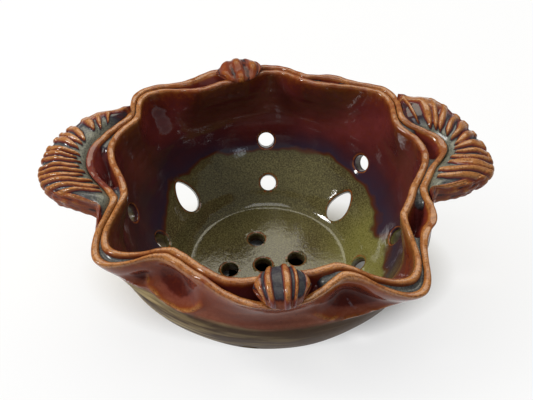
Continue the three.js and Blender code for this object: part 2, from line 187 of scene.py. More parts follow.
# Fan handles: name, direction of the tip, directions of the root's ends, reach, front and back lengths, seed
HANDLES = (
    ("handle_right", 4, -23.0, 37.5, 36, 21, 45, 5),
    ("handle_left", 176, 213.0, 149.5, 37.5, 28.5, 33.5, 11),
)
HANDLE_FRONT_FLANK = 0.14
HANDLE_BACK_FLANK = 0.05
HANDLE_BACK_END = 0.04
HANDLE_END_REACH = 0.9
HANDLE_FLANK_REACH = 4.5
HANDLE_BASE_REACH = 7.0
HANDLE_FRONT_SQUARENESS = 2.3
HANDLE_BACK_SQUARENESS = 1.85
HANDLE_ROOT_DROP = 3.0
HANDLE_EDGE_DROP = 1.0
HANDLE_CROWN = 5.0
HANDLE_ROOT_THICK = 10.0
HANDLE_EDGE_THICK = 5.0
HANDLE_EDGE_SHARE = 0.45
HANDLE_ROOT_LIFT = 2.4
HANDLE_LIFT_FADE = (10.0, 0.0)
HANDLE_SEAT_SINK = 1.3
HANDLE_SEAT_RISE = 1.5

# Along a handle, from its front at 0 to its back at 1: thin and sunk front end, front roll, dropped back end
THIN_END = 0.25
THIN_END_SHARES = (0.0, 0.13)
END_SINK = 5.0
END_SINK_SHARES = (0.27, 0.05)
ROLL_DROP = 3.2
ROLL_SHARES = (0.46, 0.26)
BACK_DROP = 3.0
BACK_DROP_SHARES = (0.14, 0.0)
BACK_DROP_REACH = (0.0, 6.0)

# Fans: middle out from the axis and to the back, width of the back roll, share from which valleys are red,
# and the ridges as (angle round the middle, half width)
FANS = {
    "handle_right": (72.0, 8.0, 11.5, 0.70, (
        (112, 2.2), (104, 2.4), (91, 4.4), (82, 3.2), (73.5, 3.6), (61, 4.0), (48.5, 5.4), (34, 6.4),
        (18, 7.8), (1, 6.2), (-13, 6.2), (-29, 8.6), (-46, 7.0), (-62, 6))),
    "handle_left": (65.0, 0.0, 8.0, 0.80, (
        (76, 2.6), (68.5, 2.2), (60, 4), (45.5, 3.8), (38, 2.6), (31, 3.2), (21.4, 2.6), (15.2, 2.4),
        (8.2, 2.6), (-2.5, 4.0), (-14.7, 4.0), (-25.4, 4.4), (-38.7, 4.4), (-53, 5), (-65, 4))),
}
FAN_SPREAD = 3.58
FAN_POOL = 2.4
RED_VALLEYS_OVER = 0.12

# Ridges: they begin at random past the pool, sway and swell as they run out, and taper towards their start
RIDGE_HEIGHT = 1.6
RIDGE_BEGIN = (-0.9, 1.4)
RIDGE_TOP = (0.85, 1.0)
RIDGE_RISE = 1.6
RIDGE_SWAY = 0.28
RIDGE_SWAY_PITCH = 4.0
RIDGE_SWELL = 0.2
RIDGE_SWELL_PITCH = 3.1
RIDGE_TAPER = 5.0
RIDGE_TAPER_POWER = 0.6
RIDGE_TAPER_LEAST = 0.02
RIDGE_FOOT = 1.3
RIDGE_CREST = 0.4
RIDGE_FADE = (13.0, 5.0)
RIDGE_FRONT = (0.0, 0.10)
RIDGE_BACK = (0.0, 0.06)

# Smooth rolls along the edge at both ends of a fan, and the torn bark on the front one
ROLL_RELIEF = 0.8
FRONT_ROLL = (0.36, 0.24)
FRONT_ROLL_END = (0.07, 0.12)
FRONT_ROLL_WIDTH = 6.0
FRONT_ROLL_SLOPE = 2.5
BACK_ROLL = (0.74, 0.86)
BACK_ROLL_SLOPE = 3.0
BARK_HEIGHT = 0.5
BARK_FROM = (-5.0, -1.0)
BARK_FADE = (12.0, 8.0)
BARK_RELIEF = 0.6

# Buttons: name, direction, reach, width, rise, lumpiness, relief in the valleys and on the ridges, whether
# it is rough all over, and the ridges as (share of the width, half width of it)
BUTTONS = (
    ("button_front", -86, 5.8, 21, 6.2, 0.12, -0.58, 0.9, False,
     ((0.17, 0.065), (0.335, 0.042), (0.55, 0.042), (0.66, 0.022), (0.86, 0.055))),
    ("button_back", 102, 6.6, 23, 3.4, 0.7, -0.25, 0.42, True,
     ((0.13, 0.05), (0.30, 0.07), (0.52, 0.06), (0.74, 0.09), (0.92, 0.04))),
)
BUTTON_LENGTH = 19.6
BUTTON_SINK = 3.0
BUTTON_ROUNDNESS = 0.7
BUTTON_VALLEY = 0.9
BUTTON_TAPER = 0.24
BUTTON_TOP = (-0.5, 0.1)
BUTTON_UNDER = (-0.05, -0.3)
BUTTON_MARGIN = 0.004
LUMP_RELIEF = 0.25

# Height of the line between the green glaze below and the red one above: direction, height; and how much
# wider than elsewhere the purple band along it is
INNER_LINE = ((-150, 19), (-90, 22), (-30, 22), (5, 17), (45, 24), (90, 23.5), (140, 24), (177, 13))
OUTER_LINE = ((-150, 59), (-120, 59.5), (-90, 58), (-40, 57), (30, 55), (90, 56), (150, 56))
INNER_BAND = ((-150, 1.8), (-90, 1.0), (-20, 1.5), (20, 1.5), (60, 1.0), (100, 0.8), (150, 1.7), (180, 2.2))
ABOVE_LINE = 40.0
BELOW_LINE = -9.0

# Relief of a lip: how much of it is lost between two distances from the top
LIP_RELIEF = ((0.5, 0.8, 3.0), (0.3, 2.4, 6.0), (0.2, 5.0, 13.0))

# How tan the lips are, less tan towards the back as painted shade, and how fast the tan fades down the
# inside: direction, share
LIP_TONE_AND_SHADE = (
    (-150, 0.92), (-90, 0.86), (-50, 0.9), (-20, 0.8), (10, 0.72),
    (40, 0.70), (65, 0.58), (90, 0.54), (120, 0.58), (145, 0.8), (165, 0.92),
)
LIP_FADE = (
    (-150, 1.3), (-90, 1.45), (-58, 1.2), (-38, 0.55), (-18, 0.8), (10, 1.1),
    (45, 1.0), (90, 0.85), (130, 0.9), (160, 1.1), (180, 1.3),
)

# Outer lip: a duller stretch at the front, a stretch that runs red into the left handle, the gap's glaze, and
# painted shade deep in the gap
DULL_LIP = -104
DULL_LIP_SPREAD = 16
DULL_LIP_LOSS = 0.22
MERGED_LIP = 181
MERGED_LIP_SPREAD = (15.0, 9.0)
MERGED_LIP_LOSS = 0.8
GAP_FADE = 2.2
GAP_POOL = -0.74
GAP_POOL_DEEP = -0.12
GAP_POOL_UP_TO = (2.4, 5.0)
GAP_POOL_EDGE = (1.6, 0.2)
# Painted shade deep in the gaps between the lips
DEEP_GAP_PAINTED_SHADE = -0.34
DEEP_GAP_SHADE = (3.0, 7.0)
BODY_GAP_PAINTED_SHADE = 0.7
BODY_GAP_SHADE = (3.0, 6.0)

# Fineness of the meshes
TURN_STEPS = 432
WALL_STEPS = 56
WALL_SAMPLES = 2001
FLOOR_RINGS = 14
FLOOR_RING_RADII = (2.0, 22.5)
LEDGE_STEPS = 3
LIP_STEPS = 16
FOOT_STEPS = 300
CORNER_STEPS = 6
HANDLE_COLUMNS = 210
SHARP_ANGLE = np.radians(42)
TINY = 1e-6


def smoothstep(low, high, value):
    """Smooth step from 0 at low to 1 at high; low may be the greater."""
    share = np.clip((value - low) / (high - low), 0.0, 1.0)
    return share * share * (3.0 - 2.0 * share)


def lerp(low, high, share):
    """Value between two others."""
    return low + (high - low) * share


def away(direction, at):
    """Degrees between directions, the short way round."""
    return np.abs((direction - at + 180.0) % 360.0 - 180.0)


def bumps(rows, direction):
    """Sum of rounded bumps around the rim."""
    total = np.zeros_like(direction, dtype=float)
    for at, out, spread in rows:
        off = away(direction, at)
        total += np.where(off < spread, out / 2 * (1 + np.cos(np.pi * off / spread)), 0.0)
    return total


def around(rows, direction):
    """Value between (direction, value) rows, round the whole turn."""
    at, value = zip(*rows)
    return np.interp(direction, at, value, period=360.0)


def waves(rows, direction, z=0.0):
    """Sum of waves around the bowl, leaning with the height."""
    angle = np.radians(direction)
    return sum(size * np.sin(count * angle + lean * z + start) for size, count, lean, start in rows)


def full_turn(steps):
    """Directions round the axis, one to a row."""
    return np.linspace(-180, 180, steps, endpoint=False)[:, None]


def polar(radius, direction):
    """Places in plan at a distance and direction from the axis."""
    angle = np.radians(direction)
    return np.stack((radius * np.cos(angle), radius * np.sin(angle)), axis=-1)


def turned(x, y, direction):
    """Places in plan, turned about the axis."""
    angle = np.radians(direction)
    return np.stack((x * np.cos(angle) - y * np.sin(angle), x * np.sin(angle) + y * np.cos(angle)), axis=-1)


def raised(flat, z):
    """Points from places in plan and their heights."""
    return np.concatenate((flat, np.broadcast_to(z, flat.shape[:-1])[..., None]), axis=-1)


def column(radius, z):
    """Points of a profile from radii and heights."""
    radius, z = np.broadcast_arrays(np.asarray(radius, dtype=float), np.asarray(z, dtype=float))
    return np.stack((radius, z), axis=-1)


def joined(*parts):
    """Grids of points or values, side by side."""
    return np.concatenate(parts, axis=1)


def hand_wobble(direction, z):
    """Small unevenness of a bowl shaped by hand, felt on both faces of the clay."""
    return waves(WALL_WAVES, direction, z) * smoothstep(*WALL_WAVES_FROM, z)


def throwing_rings(direction, z):
    """Shallow rings that the fingers leave on the wheel."""
    spiral = RING_SPIRAL * np.sin(np.radians(direction) + RING_START)
    fine = np.sin(2 * np.pi * z / RING_PITCH + spiral)
    wide = np.sin(2 * np.pi * z / WIDE_RING_PITCH + WIDE_RING_START)
    return RING_HEIGHT * (fine + WIDE_RING_SHARE * wide) * smoothstep(*RINGS_FROM, z)


def creases(direction, z):
    """1 on the line of clay pushed up below and beside each dent."""
    total = np.zeros(np.broadcast(direction, z).shape)
    for at, height, depth, wide, tall in DENTS:
        up = (z - height) / tall
        ring = np.sqrt((away(direction, at) / wide) ** 2 + up ** 2) - CREASE_RING
        line = depth / DEEPEST_DENT * np.exp(-(ring / CREASE_WIDTH) ** 2)
        total = np.maximum(total, line * smoothstep(*CREASE_BELOW, up))
    return total


def crease_break_and_highlight(direction, z):
    """Relief of the creases as the glaze feels it: a thin tan line where the glaze breaks over them, which
    also serves as a painted highlight.
    """
    return CREASE_BREAK_AND_HIGHLIGHT * creases(direction, z) ** 3


def dents(direction, z):
    """How deep the finger dents press the wall; the clay below each is pushed up into a crease."""
    total = -CREASE_HEIGHT * creases(direction, z)
    for at, height, depth, wide, tall in DENTS:
        total = total + depth * np.exp(-(away(direction, at) / wide) ** 2 - ((z - height) / tall) ** 2)
    return total * smoothstep(LIP_ROUND_Z, LIP_ROUND_Z - DENT_FADE, z)


def pressed_through(direction, z):
    """How far a dent moves the clay behind the outer face."""
    return np.maximum(dents(direction, z) - DENT_THROUGH, 0.0)


def dent_value(dent):
    """Depth of a dent as a value for the glaze."""
    return np.clip(dent / DENT_FULL, 0, 1)


def ruffled(radius, z, direction, opens):
    """Thrown point moved as the ruffled, hand-shaped rim moves it: radius and height."""
    grown = smoothstep(RIM_Z - RUFFLE_DEPTH, RIM_Z, z)
    fold = bumps(FOLDS, direction) * grown
    opening = 0.0
    if opens:
        opening = bumps(OPENINGS, direction) * np.clip((z - SPLIT_Z) / LIP_HEIGHT, 0, 1) ** OPENING_POWER
    moved = radius + fold - PINCH_DEPTH * grown + opening + hand_wobble(direction, z)
    return moved, z - FOLD_DROP * fold - OPENING_DROP * opening + waves(LIP_WAVES, direction) * grown


def wall_curve(t):
    """Inside of the wall from the floor's edge to the split: radius and height."""
    corners = np.array((
        (FLOOR_RADIUS, FLOOR_TOP), (FLOOR_RADIUS + FLOOR_SWEEP, FLOOR_TOP),
        (BELLY_RADIUS, SPLIT_Z - WALL_SWEEP), (BELLY_RADIUS, SPLIT_Z),
    ))
    t = np.asarray(t, dtype=float)[..., None]
    a, b, c, d = corners
    return a * (1 - t) ** 3 + 3 * b * t * (1 - t) ** 2 + 3 * c * t ** 2 * (1 - t) + d * t ** 3


def wall_normal(t):
    """Direction out through the wall, in the plane of the profile."""
    step = 1e-4
    along = wall_curve(np.clip(np.asarray(t) + step, 0, 1)) - wall_curve(np.clip(np.asarray(t) - step, 0, 1))
    along = along / np.linalg.norm(along, axis=-1, keepdims=True)
    return np.stack((along[..., 1], -along[..., 0]), axis=-1)


def clay_thickness(t):
    """Thickness of the clay from the floor's edge to the split."""
    wall = lerp(FLOOR_THICK, WALL_THICK, smoothstep(*WALL_THICK_FROM, t))
    return lerp(wall, RIM_THICK, smoothstep(*RIM_THICK_FROM, t))


def dished_floor(radius):
    """Height of the slightly hollow floor."""
    return FLOOR_TOP - FLOOR_DIP + FLOOR_RISE * radius ** 2


def inner_curve(t):
    """Inside of the wall as it is thrown: nearly flat at first, then turning up into the wall."""
    curve = wall_curve(t)
    radius, z = curve[..., 0], curve[..., 1]
    return np.stack((radius, lerp(dished_floor(radius), z, smoothstep(*FLOOR_TO_WALL, radius))), axis=-1)


def lip_top(radius):
    """Top of a lip, flattened between its two rounded edges."""
    turn = np.linspace(0, np.pi, LIP_STEPS + 1)[1:-1]
    across, up = np.cos(turn), np.sin(turn) ** LIP_FLATNESS
    across = np.sign(across) * np.abs(across) ** LIP_FLATNESS
    return column(radius + LIP_THICK / 2 * (1 + across), LIP_ROUND_Z + LIP_ROUNDING * up)


def lip_relief(depth):
    """Relief of a lip by the distance down from its top: 1 on the thin edge, 0 on the flat wall."""
    relief = 1.0
    for loss, start, end in LIP_RELIEF:
        relief = relief - loss * smoothstep(start, end, depth)
    return relief


def axis_of_bowl():
    """Middle of the foot ring on the table, in metres."""
    low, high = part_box("foot_ring")
    return Vector(((low.x + high.x) / 2, (low.y + high.y) / 2, 0.0))


AXIS = axis_of_bowl()


def new_mesh(name, points, faces):
    """Mesh from points in millimetres about the axis."""
    mesh = bpy.data.meshes.new(name)
    metres = np.asarray(points).reshape(-1, 3) * MM + np.array(AXIS)
    mesh.from_pydata(metres.tolist(), [], faces)
    mesh.update()
    return mesh


def mesh_points(mesh):
    """Points of a mesh in millimetres about the axis."""
    flat = np.empty(len(mesh.vertices) * 3)
    mesh.vertices.foreach_get("co", flat)
    return (flat.reshape(-1, 3) - np.array(AXIS)) / MM


def new_object(name, data):
    """Object linked into the scene."""
    made = bpy.data.objects.new(name, data)
    bpy.context.scene.collection.objects.link(made)
    return made


def write_values(mesh, **values):
    """Values for the glaze at each point of a mesh; a single number holds everywhere."""
    for name, value in values.items():
        spread = np.broadcast_to(np.ravel(value), len(mesh.vertices))
        made = mesh.attributes.new(name, "FLOAT", "POINT")
        made.data.foreach_set("value", spread.astype(np.float32))


def grid_faces(rows, columns, wrap_rows, wrap_columns):
    """Quads of a grid of points numbered row by row."""
    row = np.arange(rows if wrap_rows else rows - 1)[:, None]
    place = np.arange(columns if wrap_columns else columns - 1)[None, :]
    below = ((row + 1) % rows) * columns
    beside = (place + 1) % columns
    corners = (row * columns + place, below + place, below + beside, row * columns + beside)
    return np.stack(np.broadcast_arrays(*corners), axis=-1).reshape(-1, 4).tolist()


def tube_faces(rows, columns, reverse):
    """Faces of a closed tube of rings, with a cap on both ends."""
    faces = grid_faces(rows, columns, False, True)
    faces += [list(range(columns)), [rows * columns - 1 - i for i in range(columns)]]
    return [face[::-1] for face in faces] if reverse else faces


def new_piece(mesh, node, materials):
    """Object that stands for a node of the frame; a second material lies on its outside."""
    mesh.shade_smooth()
    mesh.set_sharp_from_angle(angle=SHARP_ANGLE)
    mesh.materials.clear()
    for material in materials:
        mesh.materials.append(material)
    if len(materials) > 1:
        outer = np.empty(len(mesh.vertices), dtype=np.float32)
        mesh.attributes["outer"].data.foreach_get("value", outer)
        outside = [int(outer[list(face.vertices)].min() > 0.5) for face in mesh.polygons]
        mesh.polygons.foreach_set("material_index", outside)
    piece = new_object(node + "_glazed", mesh)
    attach(piece, "root")
    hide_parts(node)
    return piece


def body_profile():
    """Thrown profile of the body from the underside round the lip to the floor."""
    t = np.linspace(0, 1, WALL_STEPS + 1)
    outer = wall_curve(t) + wall_normal(t) * clay_thickness(t)[:, None]
    radii = np.linspace(*FLOOR_RING_RADII, FLOOR_RINGS)
    heights = np.linspace(SPLIT_Z, LIP_ROUND_Z, 15)
    return np.vstack((
        column(radii, FOOT_HEIGHT),
        outer,
        column(np.linspace(BELLY_RADIUS + RIM_THICK, BELLY_RADIUS + LIP_THICK, LEDGE_STEPS + 1)[1:], SPLIT_Z),
        column(BELLY_RADIUS + LIP_THICK, heights[1:]),
        lip_top(BELLY_RADIUS),
        column(BELLY_RADIUS, heights[:0:-1]),
        inner_curve(t)[::-1],
        column(radii[::-1], dished_floor(radii[::-1])),
    ))


def way_from(profile, top):
    """Distance of each point of a profile from one of them, along the clay."""
    steps = np.linalg.norm(np.diff(profile, axis=0), axis=1)
    length = np.concatenate(((0.0,), np.cumsum(steps)))
    return np.abs(length - length[top])


def body_line(z, direction, is_outer):
    """Height above the line of the green glaze; inside, a wider band counts for less height."""
    inner = z - FLOOR_TOP - around(INNER_LINE, direction)
    inner = np.where(inner > 0, inner / around(INNER_BAND, direction), inner)
    return np.where(is_outer, z - around(OUTER_LINE, direction), inner)


def body_grid():
    """Points of the body, direction by direction, and its values for the glaze."""
    profile = body_profile()
    top = int(np.argmax(profile[:, 1]))
    depth = way_from(profile, top)
    place = np.arange(len(profile))
    ledge = FLOOR_RINGS + WALL_STEPS + 1
    is_outer = place < ledge
    direction = full_turn(TURN_STEPS)
    radius, z = ruffled(profile[None, :, 0], profile[None, :, 1], direction, False)
    thrown_z = np.broadcast_to(profile[None, :, 1], radius.shape)
    dent = dents(direction, thrown_z)
    lip_dent = np.where(place <= top, pressed_through(direction, thrown_z), 0.0)
    before_lip = ledge + LEDGE_STEPS - 1 - place
    radius = radius - np.where(before_lip > 0, dent * np.clip(before_lip / LEDGE_STEPS, 0, 1), lip_dent)
    radius = radius + np.where(is_outer, RINGS_OUTSIDE, 1.0) * throwing_rings(direction, thrown_z)
    in_gap = (place >= ledge) & (place < top)
    # painted shade: the lip darkens deep in the gap at the front
    deep = bumps(DEEP_GAPS, direction) * smoothstep(*BODY_GAP_SHADE, depth) * in_gap
    # painted shade: the lips are less tan at the back
    lip = around(LIP_TONE_AND_SHADE, direction) * lip_relief(around(LIP_FADE, direction) * depth)
    values = {
        "relief": np.where(is_outer, crease_break_and_highlight(direction, thrown_z), lip - BODY_GAP_PAINTED_SHADE * deep),
        "line": body_line(z, direction, is_outer),
        "outer": np.broadcast_to(np.where(is_outer, 1.0, 0.0), radius.shape),
        "dent": np.where(is_outer, dent_value(dent), 0.0),
    }
    return raised(polar(radius, direction), z), values


def closed_body(points):
    """Points and faces of the body with a pole on the axis below and above its floor."""
    rows, columns = points.shape[:2]
    poles = np.array(((0, 0, FOOT_HEIGHT), (0, 0, dished_floor(0.0))), dtype=float)
    faces = grid_faces(rows, columns, True, False)
    below = rows * columns
    for row in range(rows):
        after = (row + 1) % rows
        faces.append([below, after * columns, row * columns])
        faces.append([below + 1, row * columns + columns - 1, after * columns + columns - 1])
    return np.vstack((points.reshape(-1, 3), poles)), faces


# Drain hole: outline, centre on the inside, directions out, sideways and up, clay's thickness, way of the cut
Hole = namedtuple("Hole", "outline centre outward side up thick cut")


def round_outline(radius, steps=48):
    """Circle about its centre."""
    turn = np.linspace(0, 2 * np.pi, steps, endpoint=False)
    return np.stack((radius * np.cos(turn), radius * np.sin(turn)), axis=-1)


def teardrop_outline(steps=64):
    """Egg with its narrow end up: round below, drawn to a small round point above."""
    turn = np.linspace(0, 2 * np.pi, steps, endpoint=False)
    lift = (1 + np.sin(turn)) / 2
    narrow = 1.0 - TEARDROP_NARROWING * lift ** TEARDROP_POWER
    return np.stack((TEARDROP_WIDTH / 2 * np.cos(turn) * narrow, TEARDROP_LENGTH / 2 * np.sin(turn)), axis=-1)


def grown_outline(outline, grow):
    """Outline moved outwards, square to itself."""
    along = np.roll(outline, -1, axis=0) - np.roll(outline, 1, axis=0)
    along = along / np.linalg.norm(along, axis=1, keepdims=True)
    return outline + grow * np.stack((along[:, 1], -along[:, 0]), axis=-1)


def floor_holes():
    """Holes straight down through the floor: one in the middle of a ring of others."""
    places = [(0.0, 0.0)]
    for i in range(FLOOR_HOLES):
        places.append(polar(FLOOR_HOLE_PITCH, FLOOR_HOLE_TURN + 360 * i / FLOOR_HOLES))
    down, side, up = np.array((0, 0, -1.0)), np.array((1.0, 0, 0)), np.array((0, -1.0, 0))
    holes = []
    for x, y in places:
        z = dished_floor(np.hypot(x + FLOOR_HOLE_SHIFT, y))
        centre = np.array((x + FLOOR_HOLE_SHIFT, y, z))
        holes.append(Hole(round_outline(HOLE_RADIUS), centre, down, side, up, z - FOOT_HEIGHT, down))
    return holes


def wall_hole(outline, at, height, lean):
    """Hole square through the wall, or leaning sideways and a little down."""
    samples = np.linspace(0, 1, WALL_SAMPLES)
    t = float(np.interp(FLOOR_TOP + height, wall_curve(samples)[:, 1], samples))
    spot, normal = inner_curve(t), wall_normal(t)
    sunk = float((spot - wall_curve(t)) @ normal)
    outward = np.append(polar(normal[0], at), normal[1])
    side = np.append(polar(1.0, at + 90), 0.0)
    up = np.cross(outward, side)
    centre = np.append(polar(spot[0], at), spot[1])
    cut = outward + lean * side - LEAN_DOWN * abs(lean) * up
    return Hole(outline, centre, outward, side, up, float(clay_thickness(t)) - sunk, cut)


def all_holes():
    """All the drain holes of the bowl."""
    holes = floor_holes()
    holes += [wall_hole(round_outline(HOLE_RADIUS), *row) for row in WALL_HOLES]
    return holes + [wall_hole(teardrop_outline(), *row) for row in TEARDROPS]


def hole_cutter(hole):
    """Spool that cuts a hole with rounded edges at both faces of the clay."""
    turn = np.linspace(0, np.pi / 2, CORNER_STEPS)
    flare = HOLE_FILLET * (1 - np.sin(turn))
    depth = HOLE_FILLET * (1 - np.cos(turn))
    flange = HOLE_FILLET + CUTTER_FLARE
    depths = np.concatenate(((-CUTTER_REACH,), depth, hole.thick - depth[::-1], (hole.thick + CUTTER_REACH,)))
    grows = np.concatenate(((flange,), flare, flare[::-1], (flange,)))
    rings = []
    for along, grow in zip(depths, grows):
        ring = grown_outline(hole.outline, grow)
        rings.append(hole.centre + ring[:, :1] * hole.side + ring[:, 1:] * hole.up + along * hole.cut)
    return np.vstack(rings), tube_faces(len(rings), len(hole.outline), True)


def all_cutters(holes):
    """Points and faces of all the cutters together."""
    points, faces, start = [], [], 0
    for hole in holes:
        own, own_faces = hole_cutter(hole)
        points.append(own)
        faces += [[start + i for i in face] for face in own_faces]
        start += len(own)
    return np.vstack(points), faces


def pierced(mesh, holes):
    """Mesh with the drain holes cut through it."""
    cutter = new_object("cutter", new_mesh("cutter", *all_cutters(holes)))
    body = new_object("blank", mesh)
    cut = body.modifiers.new("holes", "BOOLEAN")
    cut.operation = "DIFFERENCE"
    cut.solver = "MANIFOLD"
    cut.object = cutter
    evaluated = body.evaluated_get(bpy.context.evaluated_depsgraph_get())
    result = bpy.data.meshes.new_from_object(evaluated)
    for thing in (body, cutter):
        bpy.data.objects.remove(thing)
    return result


def hole_distance(points, holes):
    """Distance of each point to the nearest edge of a hole, along the wall."""
    nearest = np.full(len(points), NO_HALO)
    for hole in holes:
        offset = points - hole.centre
        along = offset @ hole.outward
        offset = offset - along[:, None] * (hole.cut - hole.outward)
        flat = np.stack((offset @ hole.side, offset @ hole.up), axis=-1)
        within = np.abs(along - hole.thick / 2) < hole.thick / 2 + HALO_DEPTH
        close = within & (np.linalg.norm(flat, axis=1) < HALO_REACH)
        gaps = np.linalg.norm(flat[close][:, None, :] - hole.outline[None], axis=-1).min(axis=1)
        inside = np.linalg.norm(flat[close], axis=1) < np.linalg.norm(hole.outline, axis=1).min()
        nearest[close] = np.minimum(nearest[close], np.where(inside, 0.0, gaps))
    return nearest


def nearest_points(points, wanted):
    """For each wanted point, the number of the nearest of the others."""
    tree = KDTree(len(points))
    for index, point in enumerate(points):
        tree.insert(point, index)
    tree.balance()
    return np.array([tree.find(point)[1] for point in wanted])


def bowl_body(materials):
    """Thrown bowl with its inner lip, pierced by the drain holes."""
    points, values = body_grid()
    holes = all_holes()
    mesh = pierced(new_mesh("bowl_body", *closed_body(points)), holes)
    placed = mesh_points(mesh)
    source = nearest_points(points.reshape(-1, 3), placed)
    values = {name: value.reshape(-1)[source] for name, value in values.items()}
    halo = np.exp(-((hole_distance(placed, holes) - HALO_PLACE) / HALO_WIDTH) ** 2)
    values["relief"] = np.maximum(values["relief"], HALO_RELIEF * halo)
    write_values(mesh, **values)
    return new_piece(mesh, "bowl_body", materials)


def rim_profile():
    """Profile of the outer lip's outside and top, and how many of its points are on the outside."""
    skirt = np.linspace(SPLIT_Z - RIM_SKIRT, SPLIT_Z, 3)[:-1]
    heights = np.concatenate((skirt, np.linspace(SPLIT_Z, LIP_ROUND_Z, 20)))
    face = column(SPLIT_RADIUS + LIP_THICK + RIM_PROUD, heights)
    return np.vstack((face, lip_top(SPLIT_RADIUS))), len(heights)


def gap_depth(direction):
    """How deep the gap between the lips is, above the slip that fills its bottom."""
    deep = np.maximum(smoothstep(*DEEP_GAP_FROM, bumps(OPENINGS, direction)), bumps(DEEP_GAPS, direction))
    return lerp(SHALLOW_GAP, DEEP_GAP, deep)


def rim_inside(direction, inner_z):
    """Outer lip's side of the gap, the slip in the gap and the hidden back, each as radius and height."""
    slip_z = inner_z[:, -1:]
    inner_radius, inner_height = ruffled(np.full(inner_z.shape, SPLIT_RADIUS), inner_z, direction, True)
    inner_radius = inner_radius - pressed_through(direction, inner_z)
    against = BELLY_RADIUS + LIP_THICK - SLIP_OVERLAP
    lip_radius, lip_height = ruffled(against, slip_z, direction, False)
    across = np.linspace(0, 1, 10)[None, 1:]
    sag = np.minimum(SLIP_SAG, SLIP_SAG_SHARE * bumps(OPENINGS, direction)) * 4 * across * (1 - across)
    slip_radius = lerp(inner_radius[:, -1:], lip_radius, across)
    slip_height = lerp(inner_height[:, -1:], lip_height, across) - sag
    back_z = slip_z + (SPLIT_Z - RIM_SKIRT - slip_z) * across
    back_radius, back_height = ruffled(np.full(back_z.shape, against), back_z, direction, False)
    back_radius = back_radius - np.maximum(dents(direction, back_z), 0.0)
    return (inner_radius, inner_height), (slip_radius, slip_height), (back_radius, back_height)


def rim_relief(direction, face_z, inner_z, depth):
    """Relief of the outside and top, of the lip's side of the gap and of the slip in it."""
    merged = smoothstep(*MERGED_LIP_SPREAD, away(direction, MERGED_LIP))
    dull = 1 - DULL_LIP_LOSS * np.exp(-(away(direction, DULL_LIP) / DULL_LIP_SPREAD) ** 2)
    # painted shade: the lips are less tan at the back
    tone_and_shade = (1 - MERGED_LIP_LOSS * merged) * dull * around(LIP_TONE_AND_SHADE, direction)
    face = np.maximum(lip_relief(RIM_Z - face_z) * tone_and_shade, crease_break_and_highlight(direction, face_z))
    down = RIM_Z - inner_z
    pool = lerp(GAP_POOL, GAP_POOL_DEEP, np.maximum(smoothstep(*GAP_POOL_UP_TO, depth), merged))
    inner = lerp(lip_relief(GAP_FADE * down) * tone_and_shade, pool, smoothstep(*GAP_POOL_EDGE, depth - down))
    # painted shade: darker deep in the gap at the front
    deep = DEEP_GAP_PAINTED_SHADE * bumps(DEEP_GAPS, direction)
    return face, inner + deep * smoothstep(*DEEP_GAP_SHADE, down), pool + deep


def outer_rim(materials):
    """Outer lip, with the slip that fills the bottom of the gap to the inner lip."""
    direction = full_turn(TURN_STEPS)
    profile, outside = rim_profile()
    face_z = profile[None, :, 1]
    is_outer = np.arange(len(profile)) < outside
    dent = np.where(is_outer, dents(direction, face_z), 0.0)
    radius, z = ruffled(profile[None, :, 0], face_z, direction, True)
    radius = radius - dent + np.where(is_outer, RINGS_OUTSIDE, 0.0) * throwing_rings(direction, face_z)
    depth = gap_depth(direction)
    inner_z = LIP_ROUND_Z + (RIM_Z - depth - LIP_ROUND_Z) * np.linspace(0, 1, 18)[None, :]
    inside, slip, back = rim_inside(direction, inner_z)
    radius = joined(radius, inside[0], slip[0], back[0])
    z = joined(z, inside[1], slip[1], back[1])
    face, inner, pool = rim_relief(direction, face_z, inner_z, depth)
    relief = (face, inner, np.broadcast_to(pool, slip[0].shape), np.zeros(back[0].shape))
    outer, pressed = np.zeros(z.shape), np.zeros(z.shape)
    outer[:, :outside] = 1.0
    pressed[:, :len(profile)] = dent_value(dent)
    mesh = new_mesh("outer_rim", raised(polar(radius, direction), z), grid_faces(*z.shape, True, True))
    relief = np.clip(joined(*relief), -1, 1)
    write_values(mesh, relief=relief, line=ABOVE_LINE, outer=outer, dent=pressed)
    return new_piece(mesh, "outer_rim", materials)


def foot_profile():
    """Section of the foot ring, from the inner corner round the outside to the inside."""
    inside, outside = FOOT_RADIUS - FOOT_WIDTH, FOOT_RADIUS
    turn = np.linspace(0, np.pi / 2, CORNER_STEPS)
    inset, lift = FOOT_CORNER * (1 - np.sin(turn)), FOOT_CORNER * (1 - np.cos(turn))
    return np.vstack((
        column(inside + inset[::-1], lift[::-1]),
        column(np.linspace(inside + FOOT_FLAT_INSET, outside - FOOT_FLAT_INSET, 6), 0.0),
        column(outside - inset, lift),
        column(outside, np.linspace(FOOT_SIDE_Z, FOOT_OUTSIDE_TOP, 8)),
        column(inside, np.linspace(FOOT_INSIDE_TOP, FOOT_SIDE_Z, 6)),
    ))


def foot_ring(materials):
    """Ring with rounded corners, notched from below, bare on its standing face."""
    profile = foot_profile()
    direction = full_turn(FOOT_STEPS)
    notch = np.zeros_like(direction)
    for at in NOTCHES:
        reach = np.radians(away(direction, at)) * (FOOT_RADIUS - FOOT_WIDTH / 2)
        notch += NOTCH_HEIGHT * smoothstep(NOTCH_WIDTH / 2, NOTCH_WIDTH / 2 - NOTCH_SLOPE, reach)
    radius = profile[None, :, 0] + FOOT_WOBBLE * hand_wobble(direction, FOOT_WOBBLE_Z)
    lift = np.clip((FOOT_HEIGHT - profile[None, :, 1]) / FOOT_HEIGHT, 0, 1)
    z = profile[None, :, 1] + notch * lift
    bare = np.broadcast_to(smoothstep(*FOOT_BARE, profile[:, 1]), z.shape)
    mesh = new_mesh("foot_ring", raised(polar(radius, direction), z), grid_faces(*z.shape, True, True))
    write_values(mesh, relief=0.0, line=BELOW_LINE, outer=1.0, bare=bare)
    return new_piece(mesh, "foot_ring", materials)


